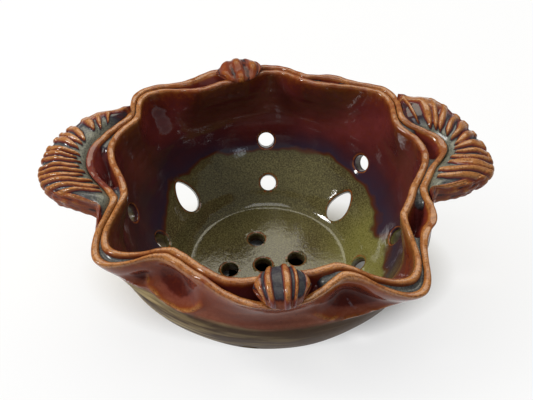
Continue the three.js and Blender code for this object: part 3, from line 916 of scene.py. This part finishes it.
class Fan:
    """Fan handle as a row of ribs that run straight out from the outer lip to the rolled edge."""

    def __init__(self, name, at, root_front, root_back, reach, front, back, seed):
        self.name, self.seed = name, seed
        self.share = share = np.linspace(0, 1, HANDLE_COLUMNS + 1)[:, None]
        self.side = np.sign(root_front - root_back)
        self.direction = lerp(root_front, root_back, share)
        lip = np.full(share.shape, RIM_Z)
        self.root_radius, self.root_z = ruffled(SPLIT_RADIUS + LIP_THICK / 2, lip, self.direction, True)
        self.grown = smoothstep(0, HANDLE_FRONT_FLANK, share) * smoothstep(0, HANDLE_BACK_FLANK, 1 - share)
        self.rolled = smoothstep(*ROLL_SHARES, share) * smoothstep(0.0, HANDLE_FRONT_FLANK, share)
        self.start = polar(self.root_radius, self.direction)
        span = self.rib_ends(at, reach, front, back) - self.start
        self.length = np.linalg.norm(span, axis=-1)
        self.heading = span / self.length[..., None]
        self.edge = np.minimum(HANDLE_EDGE_THICK / 2, HANDLE_EDGE_SHARE * self.length)

    def rib_ends(self, at, reach, front, back):
        """Ends of the ribs in plan: on a squarish fan, and close to the lip at both flanks."""
        turn = np.pi * np.clip((self.share - HANDLE_FRONT_FLANK) / (1 - HANDLE_FRONT_FLANK), 0, 1)
        at_front = turn < np.pi / 2
        power = np.where(at_front, 2 / HANDLE_FRONT_SQUARENESS, 2 / HANDLE_BACK_SQUARENESS)
        out = PINCH_RADIUS + lerp(HANDLE_BASE_REACH, reach, np.abs(np.sin(turn)) ** power)
        along = self.side * np.where(at_front, front, -back) * np.abs(np.cos(turn)) ** power
        ends = smoothstep(0, HANDLE_FRONT_FLANK, self.share) * smoothstep(0, HANDLE_BACK_END, 1 - self.share)
        flank = lerp(HANDLE_END_REACH, HANDLE_FLANK_REACH, ends)
        near = polar(self.root_radius + flank, self.direction)
        return lerp(near, turned(out, along, at), self.grown[..., None])

    def top_and_bottom(self, reached):
        """Heights of the upper and the lower face at a distance along the ribs."""
        t = reached / self.length
        top = self.root_z + HANDLE_CROWN * 4 * t * (1 - t) - lerp(HANDLE_ROOT_DROP, HANDLE_EDGE_DROP, t)
        drop = BACK_DROP * smoothstep(*BACK_DROP_SHARES, 1 - self.share)
        drop = drop * smoothstep(*BACK_DROP_REACH, reached)
        top = top - drop - END_SINK * smoothstep(*END_SINK_SHARES, self.share)
        thinned = lerp(THIN_END, 1.0, smoothstep(*THIN_END_SHARES, self.share))
        edge_thick = (HANDLE_EDGE_THICK + ROLL_DROP * self.rolled) * thinned
        root_thick = lerp(HANDLE_EDGE_THICK, HANDLE_ROOT_THICK, self.grown) * thinned
        lift = self.grown * HANDLE_ROOT_LIFT * smoothstep(*HANDLE_LIFT_FADE, reached)
        return top + lift, top - lerp(root_thick, edge_thick, t)

    def in_plan(self, reached):
        """Places in plan at distances along the ribs."""
        return self.start[:, 0, None, :] + reached[..., None] * self.heading[:, 0, None, :]

    def section(self):
        """Smooth section of the ribs, over the rolled edge and back below: distance out, height, way gone."""
        length, edge = self.length, self.edge
        upper = np.linspace(0, 1, 64)[None, :] * (length - edge)
        lower = upper[:, ::-3]
        curl = np.linspace(np.pi / 2, -np.pi / 2, 25)[None, 1:-1]
        end_top, end_bottom = self.top_and_bottom(length - edge)
        curl_z = (end_top + end_bottom) / 2 + (end_top - end_bottom) / 2 * np.sin(curl)
        reached = joined(upper, length - edge + edge * np.cos(curl), lower)
        z = joined(self.top_and_bottom(upper)[0], curl_z, self.top_and_bottom(lower)[1])
        below = length + np.pi * edge + (length - edge - lower)
        return reached, z, joined(upper, length + edge * (np.pi / 2 - curl), below)

    def ridges(self, flat, travelled):
        """Height of the fan's ridges and rolls, from 0 in a valley to 1 on a ridge."""
        out, back, roll, _, rows = FANS[self.name]
        rng = np.random.default_rng(self.seed)
        along = np.minimum(travelled, self.length)
        behind = flat[..., 1] - back
        angle = np.degrees(np.arctan2(behind, np.abs(flat[..., 0]) - out))
        turn = np.where(behind > 0, angle, FAN_SPREAD * behind)
        height = np.zeros_like(turn)
        for at, wide in rows:
            height = np.maximum(height, one_ridge(turn, along, at, wide, rng))
        front_start, back_start = self.length - FRONT_ROLL_WIDTH, self.length - roll
        front_roll = smoothstep(*FRONT_ROLL, self.share) * smoothstep(*FRONT_ROLL_END, self.share)
        front_roll = front_roll * smoothstep(front_start, front_start + FRONT_ROLL_SLOPE, along)
        back_roll = smoothstep(*BACK_ROLL, self.share)
        back_roll = back_roll * smoothstep(back_start, back_start + BACK_ROLL_SLOPE, along)
        height = np.maximum(height, ROLL_RELIEF * np.maximum(front_roll, back_roll))
        return height * smoothstep(*RIDGE_FADE, travelled - self.length)

    def bark(self, over):
        """Torn bark on the front roll: streaks along it and chips across, from -1 to 1."""
        share, seed = self.share, self.seed
        streaks = np.sin(2.3 * over + 1.8 * np.sin(19 * share + seed)) + 0.7 * np.sin(4.9 * over + 31 * share)
        chips = np.sin(97 * share + 1.1 * over + seed) + 0.6 * np.sin(171 * share - 0.7 * over)
        torn = np.clip(0.45 * streaks + 0.35 * chips, -1, 1)
        return torn * self.rolled * smoothstep(*BARK_FROM, over) * smoothstep(*BARK_FADE, over)

    def relief(self, ridge, bark, travelled):
        """Relief for the glaze: grey-green valleys, tan ridges, red-brown bark and flanks."""
        share, over = self.share, travelled - self.length
        red_from = FANS[self.name][3]
        hollow = lerp(-1.0, -0.68, smoothstep(FAN_POOL + 1.5, FAN_POOL + 6.0, travelled))
        hollow = lerp(hollow, -0.3, smoothstep(red_from, red_from + RED_VALLEYS_OVER, share))
        tint = lerp(smoothstep(9.0, 4.0, over), smoothstep(2.5, -1.0, over), self.rolled)
        relief = lerp(0.2 + BARK_RELIEF * bark, lerp(hollow, 1.3, ridge), tint)
        flank = np.maximum(smoothstep(1.0, 2.4, travelled), smoothstep(0.10, 0.06, share))
        flank = smoothstep(0.17, 0.10, share) * flank + smoothstep(0.05, 0.02, 1 - share)
        return lerp(relief, 0.22 + BARK_RELIEF * bark, np.clip(flank, 0, 1))


def one_ridge(turn, along, at, wide, rng):
    """Height of one ridge of a fan, from 0 beside it to about 1 on its crest."""
    begin = FAN_POOL + rng.uniform(*RIDGE_BEGIN)
    sway = RIDGE_SWAY * wide * np.sin(along / RIDGE_SWAY_PITCH + rng.uniform(0, 2 * np.pi))
    swell = 1.0 + RIDGE_SWELL * np.sin(along / RIDGE_SWELL_PITCH + rng.uniform(0, 2 * np.pi))
    taper = np.clip((along - begin) / RIDGE_TAPER, RIDGE_TAPER_LEAST, 1.0) ** RIDGE_TAPER_POWER
    off = np.abs(turn + sway - at)
    crest = smoothstep(RIDGE_FOOT * wide * swell * taper, RIDGE_CREST * wide * taper, off)
    return rng.uniform(*RIDGE_TOP) * crest * smoothstep(begin, begin + RIDGE_RISE, along)


def handle(row, materials):
    """Fan of ridges on the outer lip: a section from the root over the rolled edge to the underside."""
    fan = Fan(*row)
    reached, z, travelled = fan.section()
    over = travelled - fan.length
    ridge = fan.ridges(fan.in_plan(reached), travelled)
    bark = fan.bark(over)
    slope = np.gradient(reached, axis=1), np.gradient(z, axis=1)
    size = np.maximum(np.hypot(*slope), TINY)
    ends = smoothstep(*RIDGE_FRONT, fan.share), smoothstep(*RIDGE_BACK, 1 - fan.share)
    sunk = RIDGE_HEIGHT * (1 - ridge) * ends[0] * ends[1] - BARK_HEIGHT * bark
    reached = reached + sunk * slope[1] / size
    z = z - sunk * slope[0] / size
    low_z = z[:, -1:]
    seat, _ = ruffled(SPLIT_RADIUS + LIP_THICK, low_z + HANDLE_SEAT_RISE, fan.direction, True)
    hidden = polar(np.minimum(seat - HANDLE_SEAT_SINK, fan.root_radius), fan.direction)
    flat = joined(fan.in_plan(reached), hidden)
    points = raised(flat, joined(z, low_z))
    rows, section = points.shape[:2]
    mesh = new_mesh(fan.name, points, tube_faces(rows, section, fan.side < 0))
    relief = joined(fan.relief(ridge, bark, travelled), np.zeros((rows, 1)))
    outer = joined(smoothstep(0.0, 1.5, over), np.ones((rows, 1)))
    write_values(mesh, relief=np.clip(relief, -1, 1.3), line=ABOVE_LINE, outer=outer)
    return new_piece(mesh, fan.name, materials)


def button(row, materials):
    """Ridged dome pressed over the two lips."""
    name, at, reach, width, rise, lump, valley_relief, ridge_relief, rough, ridges = row
    share = np.linspace(BUTTON_MARGIN, 1 - BUTTON_MARGIN, 161)[:, None]
    angle = np.linspace(np.pi, -np.pi, 96, endpoint=False)[None, :]
    full = np.sin(np.pi * share) ** BUTTON_ROUNDNESS
    crest = np.zeros_like(share)
    for place, wide in ridges:
        crest = np.maximum(crest, np.exp(-((share - place) / wide) ** 4))
    above = smoothstep(*BUTTON_TOP, np.sin(angle))
    valley = BUTTON_VALLEY * (1 - crest) * above * np.minimum(full, 1.0)
    tall = np.where(np.sin(angle) > 0, rise * full - valley, BUTTON_SINK * full)
    x = PINCH_RADIUS + reach + (BUTTON_LENGTH / 2 * full - valley) * np.cos(angle)
    y = -(width / 2) * np.cos(np.pi * share) * (1.0 - BUTTON_TAPER * np.cos(angle) ** 2)
    _, lip_z = ruffled(BELLY_RADIUS + LIP_THICK / 2, np.array(RIM_Z), np.array(float(at)), False)
    lumps = np.sin(x / 2.4 + 5 * share) * np.sin(y / 2.6 + 1.0) * above
    z = lip_z + (tall - lump + lump * lumps) * np.sin(angle)
    mesh = new_mesh(name, raised(turned(x, y, at), z), tube_faces(*z.shape, True))
    relief = lerp(valley_relief, ridge_relief, crest) * above
    if rough:
        relief = relief + LUMP_RELIEF * lumps
        outer = 1.0
    else:
        end = smoothstep(0.75, 0.98, np.cos(angle))
        end = end * smoothstep(0.15, 0.3, share) * smoothstep(0.9, 0.8, share)
        relief = lerp(relief + 0.2 * (1 - above), 0.0, end)
        outer = np.maximum(smoothstep(*BUTTON_UNDER, np.sin(angle)), smoothstep(0.5, 0.2, crest))
    write_values(mesh, relief=relief, line=ABOVE_LINE, outer=outer)
    return new_piece(mesh, name, materials)


def srgb(red, green, blue):
    """Colour written in 0 to 255, as the shader takes it."""
    parts = np.array((red, green, blue)) / 255.0
    linear = np.where(parts <= 0.04045, parts / 12.92, ((parts + 0.055) / 1.055) ** 2.4)
    return (*linear.tolist(), 1.0)


# Glaze by relief, from pools over flat walls to thin edges: place, colour, cover
RELIEF_STOPS = (
    (0.00, srgb(116, 116, 102), 1.0),
    (0.07, srgb(102, 102, 92), 1.0),
    (0.15, srgb(80, 80, 80), 1.0),
    (0.26, srgb(54, 48, 58), 1.0),
    (0.36, srgb(46, 22, 24), 0.9),
    (0.47, srgb(74, 24, 16), 0.0),
    (0.57, srgb(112, 44, 20), 0.5),
    (0.67, srgb(132, 62, 28), 0.95),
    (0.82, srgb(150, 88, 40), 1.0),
    (1.00, srgb(176, 116, 62), 1.0),
)

# Glaze along the line inside, from the green up to the red: place, colour, cover
LINE_STOPS = (
    (0.00, srgb(90, 84, 48), 1.0),
    (0.22, srgb(88, 80, 48), 1.0),
    (0.27, srgb(84, 44, 24), 1.0),
    (0.33, srgb(50, 42, 58), 0.95),
    (0.54, srgb(54, 34, 44), 0.8),
    (0.95, srgb(80, 28, 24), 0.0),
)
LINE_SPAN = (-6.0, 16.0)

# Other colours of the glaze, pairs for two shades of the same
INSIDE_REDS = (srgb(92, 36, 36), srgb(118, 52, 51))
OUTSIDE_REDS = (srgb(112, 54, 36), srgb(142, 80, 56))
# Dark red deep in a dent: glaze pooled thick, and painted shade
DENT_RED_AND_SHADE = srgb(76, 25, 17)
EDGE_SPECK = srgb(84, 38, 20)
POOL_FLECK = srgb(52, 54, 52)
OLIVES = (srgb(78, 69, 44), srgb(94, 87, 54))
# Painted light: the olive on the right of the inside is made brighter
PAINTED_LIGHT_OLIVE = srgb(116, 112, 56)
PALE_OLIVE_FLECK = srgb(148, 142, 92)
DARK_OLIVE_FLECK = srgb(56, 50, 32)
OUTSIDE_BROWNS = (srgb(58, 40, 25), srgb(80, 58, 38))
# Pale streaks of glaze, also a painted pale reflection at the left
PALE_STREAK_AND_SHEEN = srgb(186, 164, 116)
BARE_CLAYS = (srgb(134, 96, 66), srgb(170, 128, 92))

# Sizes of the glaze's unevenness and of its runs, and stretches of its brush marks
BROAD_GRAIN = 14.0
MIDDLE_GRAIN = 2.6
FINE_GRAIN = 0.7
DRIP_GRAIN = 22.0
DRIP_STRETCH = (1.0, 1.0, 0.8)
DRIPS_INSIDE = 14.0
DRIPS_OUTSIDE = 3.0
OLIVE_GRAIN = 30.0
RED_BRUSH = 12.0
RED_BRUSH_STRETCH = (0.3, 0.3, 2.0)
GREEN_BRUSH = 5.0
GREEN_BRUSH_STRETCH = (0.22, 0.22, 1.7)

# Where painted light makes the olive inside brightest, and where the pale streaks outside, strengthened there
# as a painted pale reflection, are strongest, in metres of the frame
PAINTED_LIGHT_X = (0.024, 0.044)
PAINTED_LIGHT_Y = (0.03, 0.012)
STREAK_AND_SHEEN_X = (0.02, -0.055)
STREAK_AND_SHEEN_Y = (0.05, -0.025)

# How strongly the glaze mirrors inside and on the lips, on the outside and on the foot
LIP_SHINE = 0.5
OUTSIDE_SHINE = 0.14
FOOT_SHINE = 0.18

# Roughness of the glaze, and what edges, pools, the outside below the line and bare clay add to it
GLOSS = (0.03, 0.09)
EDGE_ROUGH = 0.06
POOL_ROUGH = 0.2
OUTSIDE_ROUGH = 0.5
BARE_ROUGH = 0.7
BUMP_STRENGTH = 0.15
BUMP_DEPTH = 0.0003

# Numbers of the colour sockets of a mix node
MIX_FIRST = 6
MIX_SECOND = 7
MIX_RESULT = 2


class Recipe:
    """Node tree of a material; each value is a number, a colour or an output of another node."""

    def __init__(self, name):
        self.material = bpy.data.materials.new(name)
        self.material.use_nodes = True
        self.tree = self.material.node_tree

    def node(self, kind, **settings):
        """New node of a kind, with its settings."""
        made = self.tree.nodes.new("ShaderNode" + kind)
        for name, value in settings.items():
            setattr(made, name, value)
        return made

    def feed(self, socket, value):
        """Link an output to a socket, or set the socket's own value."""
        if isinstance(value, bpy.types.NodeSocket):
            self.tree.links.new(value, socket)
        else:
            socket.default_value = value

    def maths(self, operation, a, b):
        """Result of a sum with two values."""
        made = self.node("Math", operation=operation)
        self.feed(made.inputs[0], a)
        self.feed(made.inputs[1], b)
        return made.outputs[0]

    def plus(self, a, b):
        return self.maths("ADD", a, b)

    def minus(self, a, b):
        return self.maths("SUBTRACT", a, b)

    def times(self, a, b):
        return self.maths("MULTIPLY", a, b)

    def most(self, a, b):
        return self.maths("MAXIMUM", a, b)

    def blend(self, share, a, b):
        """Colour between two others."""
        made = self.node("Mix", data_type="RGBA", blend_type="MIX")
        self.feed(made.inputs["Factor"], share)
        self.feed(made.inputs[MIX_FIRST], a)
        self.feed(made.inputs[MIX_SECOND], b)
        return made.outputs[MIX_RESULT]

    def remap(self, value, low, high, to_low=0.0, to_high=1.0):
        """Value from one range to another, and no further."""
        made = self.node("MapRange")
        names = ("Value", "From Min", "From Max", "To Min", "To Max")
        for name, setting in zip(names, (value, low, high, to_low, to_high)):
            self.feed(made.inputs[name], setting)
        return made.outputs["Result"]

    def ramp(self, value, stops):
        """Ramp of (place, colour, cover): its colour and its cover."""
        made = self.node("ValToRGB")
        elements = made.color_ramp.elements
        while len(elements) < len(stops):
            elements.new(0.5)
        for element, (place, colour, cover) in zip(elements, stops):
            element.position = place
            element.color = (*colour[:3], cover)
        self.feed(made.inputs[0], value)
        return made.outputs["Color"], made.outputs["Alpha"]

    def grain(self, size, detail=3.0, stretch=(1.0, 1.0, 1.0)):
        """Noise with features of a size in millimetres."""
        scaled = self.node("Mapping")
        self.feed(scaled.inputs["Scale"], stretch)
        self.feed(scaled.inputs["Vector"], self.node("TexCoord").outputs["Object"])
        made = self.node("TexNoise")
        self.feed(made.inputs["Scale"], 1.0 / MM / size)
        self.feed(made.inputs["Detail"], detail)
        self.feed(made.inputs["Vector"], scaled.outputs["Vector"])
        return made.outputs["Fac"]

    def clay(self, name):
        """Value that the clay carries."""
        return self.node("Attribute", attribute_name=name).outputs["Fac"]

    def jitter(self, value, noise, amount):
        """Value moved up and down by a noise."""
        return self.plus(value, self.times(self.minus(noise, 0.5), amount))


class GlazeRecipe(Recipe):
    """Recipe with the glaze's unevenness and the clay's values at hand."""

    def __init__(self, name):
        super().__init__(name)
        self.broad, self.middle = self.grain(BROAD_GRAIN), self.grain(MIDDLE_GRAIN)
        self.fine = self.grain(FINE_GRAIN, 2.0)
        self.outer, self.dent, self.bare = (self.clay(value) for value in ("outer", "dent", "bare"))
        self.relief = self.uneven_relief()
        self.edge = self.remap(self.relief, 0.3, 0.7)
        self.pool = self.remap(self.relief, -0.45, -0.65)

    def uneven_relief(self):
        """Relief of the clay, made uneven as the glaze is, most of all on thin edges."""
        clay = self.clay("relief")
        thin = self.times(self.remap(clay, 0.2, 0.8), 1.3)
        relief = self.jitter(self.jitter(clay, self.middle, 0.5), self.fine, 0.3)
        return self.jitter(self.jitter(relief, self.broad, thin), self.middle, self.times(thin, 0.6))


def red_glaze(recipe):
    """Burgundy inside the bowl, lighter red-brown outside; the dents take the burgundy and, deep in them, a
    dark red, as glaze pooled thick and as painted shade.
    """
    inside = recipe.blend(recipe.remap(recipe.broad, 0.3, 0.7), *INSIDE_REDS)
    brushed = recipe.grain(RED_BRUSH, stretch=RED_BRUSH_STRETCH)
    outside = recipe.blend(recipe.remap(brushed, 0.35, 0.65), *OUTSIDE_REDS)
    # in the dents the red turns to the darker burgundy, partly as painted shade
    thrown = recipe.blend(recipe.minus(recipe.outer, recipe.dent), inside, outside)
    pooled_and_shaded = recipe.remap(recipe.jitter(recipe.dent, recipe.middle, 0.3), 0.42, 0.6)
    return recipe.blend(pooled_and_shaded, thrown, DENT_RED_AND_SHADE)


def upper_glaze(recipe):
    """Red glaze that breaks tan over edges and lies grey-green in hollows, with specks in both."""
    tint, cover = recipe.ramp(recipe.remap(recipe.relief, -1.0, 1.0), RELIEF_STOPS)
    broken = recipe.blend(cover, red_glaze(recipe), tint)
    specks = recipe.times(recipe.remap(recipe.fine, 0.52, 0.62), recipe.edge)
    broken = recipe.blend(recipe.times(specks, 0.6), broken, EDGE_SPECK)
    flecks = recipe.times(recipe.pool, recipe.remap(recipe.fine, 0.48, 0.6))
    return recipe.blend(recipe.times(flecks, 0.6), broken, POOL_FLECK)


def olive_inside(recipe, x, y):
    """Speckled olive, with painted light that makes it brighter at the right."""
    olive = recipe.blend(recipe.remap(recipe.grain(OLIVE_GRAIN, 1.0), 0.38, 0.62), *OLIVES)
    # painted light: the olive turns brighter towards the right
    painted_light = recipe.times(recipe.remap(x, *PAINTED_LIGHT_X), recipe.remap(y, *PAINTED_LIGHT_Y))
    olive = recipe.blend(painted_light, olive, PAINTED_LIGHT_OLIVE)
    olive = recipe.blend(recipe.remap(recipe.fine, 0.45, 0.75, 0.0, 0.6), olive, PALE_OLIVE_FLECK)
    return recipe.blend(recipe.remap(recipe.fine, 0.45, 0.3, 0.0, 0.5), olive, DARK_OLIVE_FLECK)


def brown_outside(recipe, x, y):
    """Dark olive-brown with pale brushed streaks, strongest at the left, where they are also a painted pale
    reflection.
    """
    # the streaks grow stronger at the left, partly as a painted pale reflection
    left = recipe.times(recipe.remap(x, *STREAK_AND_SHEEN_X), recipe.remap(y, *STREAK_AND_SHEEN_Y))
    brushed = recipe.jitter(recipe.grain(GREEN_BRUSH, 4.0, GREEN_BRUSH_STRETCH), left, 0.16)
    streaks = recipe.times(recipe.remap(brushed, 0.44, 0.72), recipe.remap(left, 0.0, 1.0, 0.14, 0.9))
    return recipe.blend(streaks, recipe.blend(recipe.broad, *OUTSIDE_BROWNS), PALE_STREAK_AND_SHEEN)


def green_glaze(recipe):
    """Glaze below the line."""
    apart = recipe.node("SeparateXYZ")
    recipe.feed(apart.inputs[0], recipe.node("TexCoord").outputs["Object"])
    x, y = apart.outputs["X"], apart.outputs["Y"]
    return recipe.blend(recipe.outer, olive_inside(recipe, x, y), brown_outside(recipe, x, y))


def lower_glaze(recipe):
    """Green glaze with the purple band along its line inside: its colour and how far it covers the red."""
    drips = recipe.grain(DRIP_GRAIN, 2.0, DRIP_STRETCH)
    runs = recipe.remap(recipe.outer, 0.0, 1.0, DRIPS_INSIDE, DRIPS_OUTSIDE)
    line = recipe.jitter(recipe.jitter(recipe.clay("line"), drips, runs), recipe.middle, 1.2)
    band, purple = recipe.ramp(recipe.remap(line, *LINE_SPAN), LINE_STOPS)
    below = recipe.most(recipe.remap(line, -0.6, -1.8), recipe.outer)
    plain = recipe.remap(line, 1.2, -1.2)
    cover = recipe.plus(purple, recipe.times(recipe.outer, recipe.minus(plain, purple)))
    cover = recipe.times(cover, recipe.remap(recipe.relief, 0.55, 0.25))
    return recipe.blend(below, band, green_glaze(recipe)), cover


def glaze_roughness(recipe, cover):
    """Gloss that varies a little, duller on edges, in pools, below the line outside and on bare clay."""
    rough = recipe.remap(recipe.middle, 0.3, 0.7, *GLOSS)
    rough = recipe.plus(rough, recipe.times(recipe.edge, EDGE_ROUGH))
    rough = recipe.plus(rough, recipe.times(recipe.pool, POOL_ROUGH))
    matte = recipe.times(recipe.times(recipe.outer, cover), OUTSIDE_ROUGH)
    return recipe.plus(rough, recipe.plus(matte, recipe.times(recipe.bare, BARE_ROUGH)))


def glaze_bump(recipe):
    """Slightly uneven surface of the glaze."""
    bump = recipe.node("Bump")
    bump.inputs["Strength"].default_value = BUMP_STRENGTH
    bump.inputs["Distance"].default_value = BUMP_DEPTH
    recipe.feed(bump.inputs["Height"], recipe.plus(recipe.times(recipe.fine, 0.4), recipe.middle))
    return bump.outputs["Normal"]


def glaze(name, shine):
    """Glossy glaze that runs from red to green down the wall, on clay that is bare on the foot."""
    recipe = GlazeRecipe(name)
    lower, cover = lower_glaze(recipe)
    colour = recipe.blend(cover, upper_glaze(recipe), lower)
    clay = recipe.blend(recipe.remap(recipe.fine, 0.35, 0.65), *BARE_CLAYS)
    shader = recipe.tree.nodes["Principled BSDF"]
    shader.inputs["Specular IOR Level"].default_value = shine
    recipe.feed(shader.inputs["Base Color"], recipe.blend(recipe.bare, colour, clay))
    recipe.feed(shader.inputs["Roughness"], glaze_roughness(recipe, cover))
    recipe.feed(shader.inputs["Normal"], glaze_bump(recipe))
    return recipe.material


# Studio paper: radius and height of its profile, its grey, and the ellipse in the shade under the bowl
PAPER_PROFILE = ((20.0, 0.0), (5000.0, 0.0), (5600.0, 80.0), (5900.0, 350.0), (6000.0, 1500.0))
PAPER_STEPS = 64
PAPER_COLOUR = (0.92, 0.92, 0.92, 1.0)
SHADE_CENTRE = (0.0, 8.0, 0.0)
SHADE_SIZE = (76.0, 40.0, 1000.0)

# White of the paper by the distance in sizes of the shade: start, end, and white there; reflections show it
# dimmer far away
PAPER_NEAR = (0.92, 1.25, 0.0, 0.74)
PAPER_OPEN = (1.25, 2.2, 0.0, 0.14)
PAPER_MIRRORED = (6.0, 16.0, 1.0, 0.3)

# Light from all sides, and lamps: name, azimuth, elevation, distance, width, height, radiance, colour
WORLD_COLOUR = (0.93, 0.97, 1.0, 1.0)
WORLD_STRENGTH = 0.25
LAMPS = (
    ("softbox_back", 180, 52, 0.9, 0.9, 0.54, 3.1, (1.0, 0.95, 0.78)),
    ("softbox_left", -84, 42, 0.9, 0.16, 0.24, 34.0, (1.0, 0.98, 0.96)),
    ("softbox_top", 0, 80, 0.9, 0.4, 0.4, 2.5, (1.0, 0.99, 0.97)),
    ("window_front", 25, 24, 1.0, 0.09, 0.06, 3.0, (0.75, 0.85, 1.0)),
)
LAMP_AIM = (0.0, 0.0, 0.05)

# Camera of the photograph
SENSOR_WIDTH = 36.0
LENS = 48.43
CAMERA_PLACE = (-0.9, -225.1, 279.7)
CAMERA_PITCH = 45


def shade_distance(recipe):
    """Distance from the middle of the shade, in sizes of it."""
    value = recipe.node("NewGeometry").outputs["Position"]
    shift = AXIS + Vector(SHADE_CENTRE) * MM
    for operation, amount in (("SUBTRACT", shift), ("DIVIDE", Vector(SHADE_SIZE) * MM)):
        made = recipe.node("VectorMath", operation=operation)
        recipe.feed(made.inputs[0], value)
        recipe.feed(made.inputs[1], amount)
        value = made.outputs["Vector"]
    reach = recipe.node("VectorMath", operation="LENGTH")
    recipe.feed(reach.inputs[0], value)
    return reach.outputs["Value"]


def seen_rays(recipe, mirrored):
    """Share of white for rays that show the background: from the camera, in reflections and through glass."""
    path = recipe.node("LightPath")
    glossy = recipe.times(path.outputs["Is Glossy Ray"], mirrored)
    seen = recipe.most(path.outputs["Is Camera Ray"], glossy)
    return recipe.most(seen, path.outputs["Is Transmission Ray"])


def floor_material():
    """White paper; to the eye and in reflections it is near white, and dark in the shade under the bowl."""
    recipe = Recipe("studio_paper")
    recipe.tree.nodes.remove(recipe.tree.nodes["Principled BSDF"])
    paper = recipe.node("BsdfDiffuse")
    paper.inputs["Color"].default_value = PAPER_COLOUR
    white = recipe.node("Emission")
    white.inputs["Strength"].default_value = 1.0
    reach = shade_distance(recipe)
    whiteness = recipe.plus(recipe.remap(reach, *PAPER_NEAR), recipe.remap(reach, *PAPER_OPEN))
    seen = seen_rays(recipe, recipe.remap(reach, *PAPER_MIRRORED))
    mixed = recipe.node("MixShader")
    parts = (recipe.times(seen, whiteness), paper.outputs[0], white.outputs[0])
    for socket, value in zip(mixed.inputs, parts):
        recipe.feed(socket, value)
    recipe.feed(recipe.tree.nodes["Material Output"].inputs["Surface"], mixed.outputs[0])
    return recipe.material


def studio_floor():
    """Round sheet of paper that turns up into a low backdrop far behind the bowl on all sides."""
    profile = np.array(PAPER_PROFILE)
    columns = len(profile)
    radius = np.broadcast_to(profile[None, :, 0], (PAPER_STEPS, columns))
    points = raised(polar(radius, full_turn(PAPER_STEPS)), profile[None, :, 1])
    faces = grid_faces(PAPER_STEPS, columns, True, False) + [[row * columns for row in range(PAPER_STEPS)]]
    mesh = new_mesh("studio_floor", points, [face[::-1] for face in faces])
    mesh.shade_smooth()
    mesh.materials.append(floor_material())
    floor = new_object("studio_floor", mesh)


def studio_world():
    """Weak, slightly cool light from all sides."""
    world = bpy.data.worlds.new("studio_world")
    bpy.context.scene.world = world
    world.use_nodes = True
    background = world.node_tree.nodes["Background"]
    background.inputs["Color"].default_value = WORLD_COLOUR
    background.inputs["Strength"].default_value = WORLD_STRENGTH


def softbox(name, azimuth, elevation, distance, width, height, radiance, colour):
    """Area lamp that faces the bowl; azimuth 0 is in front of it, 90 to its right."""
    lamp = bpy.data.lights.new(name, "AREA")
    lamp.shape = "RECTANGLE"
    lamp.size, lamp.size_y = width, height
    lamp.energy = radiance * np.pi * width * height
    lamp.color = colour
    made = new_object(name, lamp)
    a, e = np.radians(azimuth), np.radians(elevation)
    out = Vector((np.sin(a) * np.cos(e), -np.cos(a) * np.cos(e), np.sin(e)))
    made.location = AXIS + Vector(LAMP_AIM) + out * distance
    made.rotation_euler = out.to_track_quat("Z", "Y").to_euler()


def photo_camera():
    """Camera at the photograph's place and angle."""
    data = bpy.data.cameras.new("photo_camera")
    data.sensor_width = SENSOR_WIDTH
    data.sensor_fit = "HORIZONTAL"
    data.lens = LENS
    camera = new_object("photo_camera", data)
    camera.location = AXIS + Vector(CAMERA_PLACE) * MM
    camera.rotation_euler = (np.radians(CAMERA_PITCH), 0, 0)
    bpy.context.scene.camera = camera


bpy.context.scene.view_settings.view_transform = "Standard"
photo_camera()
studio_floor()
studio_world()
for lamp in LAMPS:
    softbox(*lamp)
body_glaze = glaze("body_glaze", LIP_SHINE)
rim_glaze = glaze("rim_glaze", LIP_SHINE)
outside_glaze = glaze("outside_glaze", OUTSIDE_SHINE)
foot_glaze = glaze("foot_glaze", FOOT_SHINE)
bowl_body((body_glaze, outside_glaze))
outer_rim((rim_glaze, outside_glaze))
foot_ring((foot_glaze,))
for row in HANDLES:
    handle(row, (rim_glaze, outside_glaze))
for row in BUTTONS:
    button(row, (rim_glaze, outside_glaze))
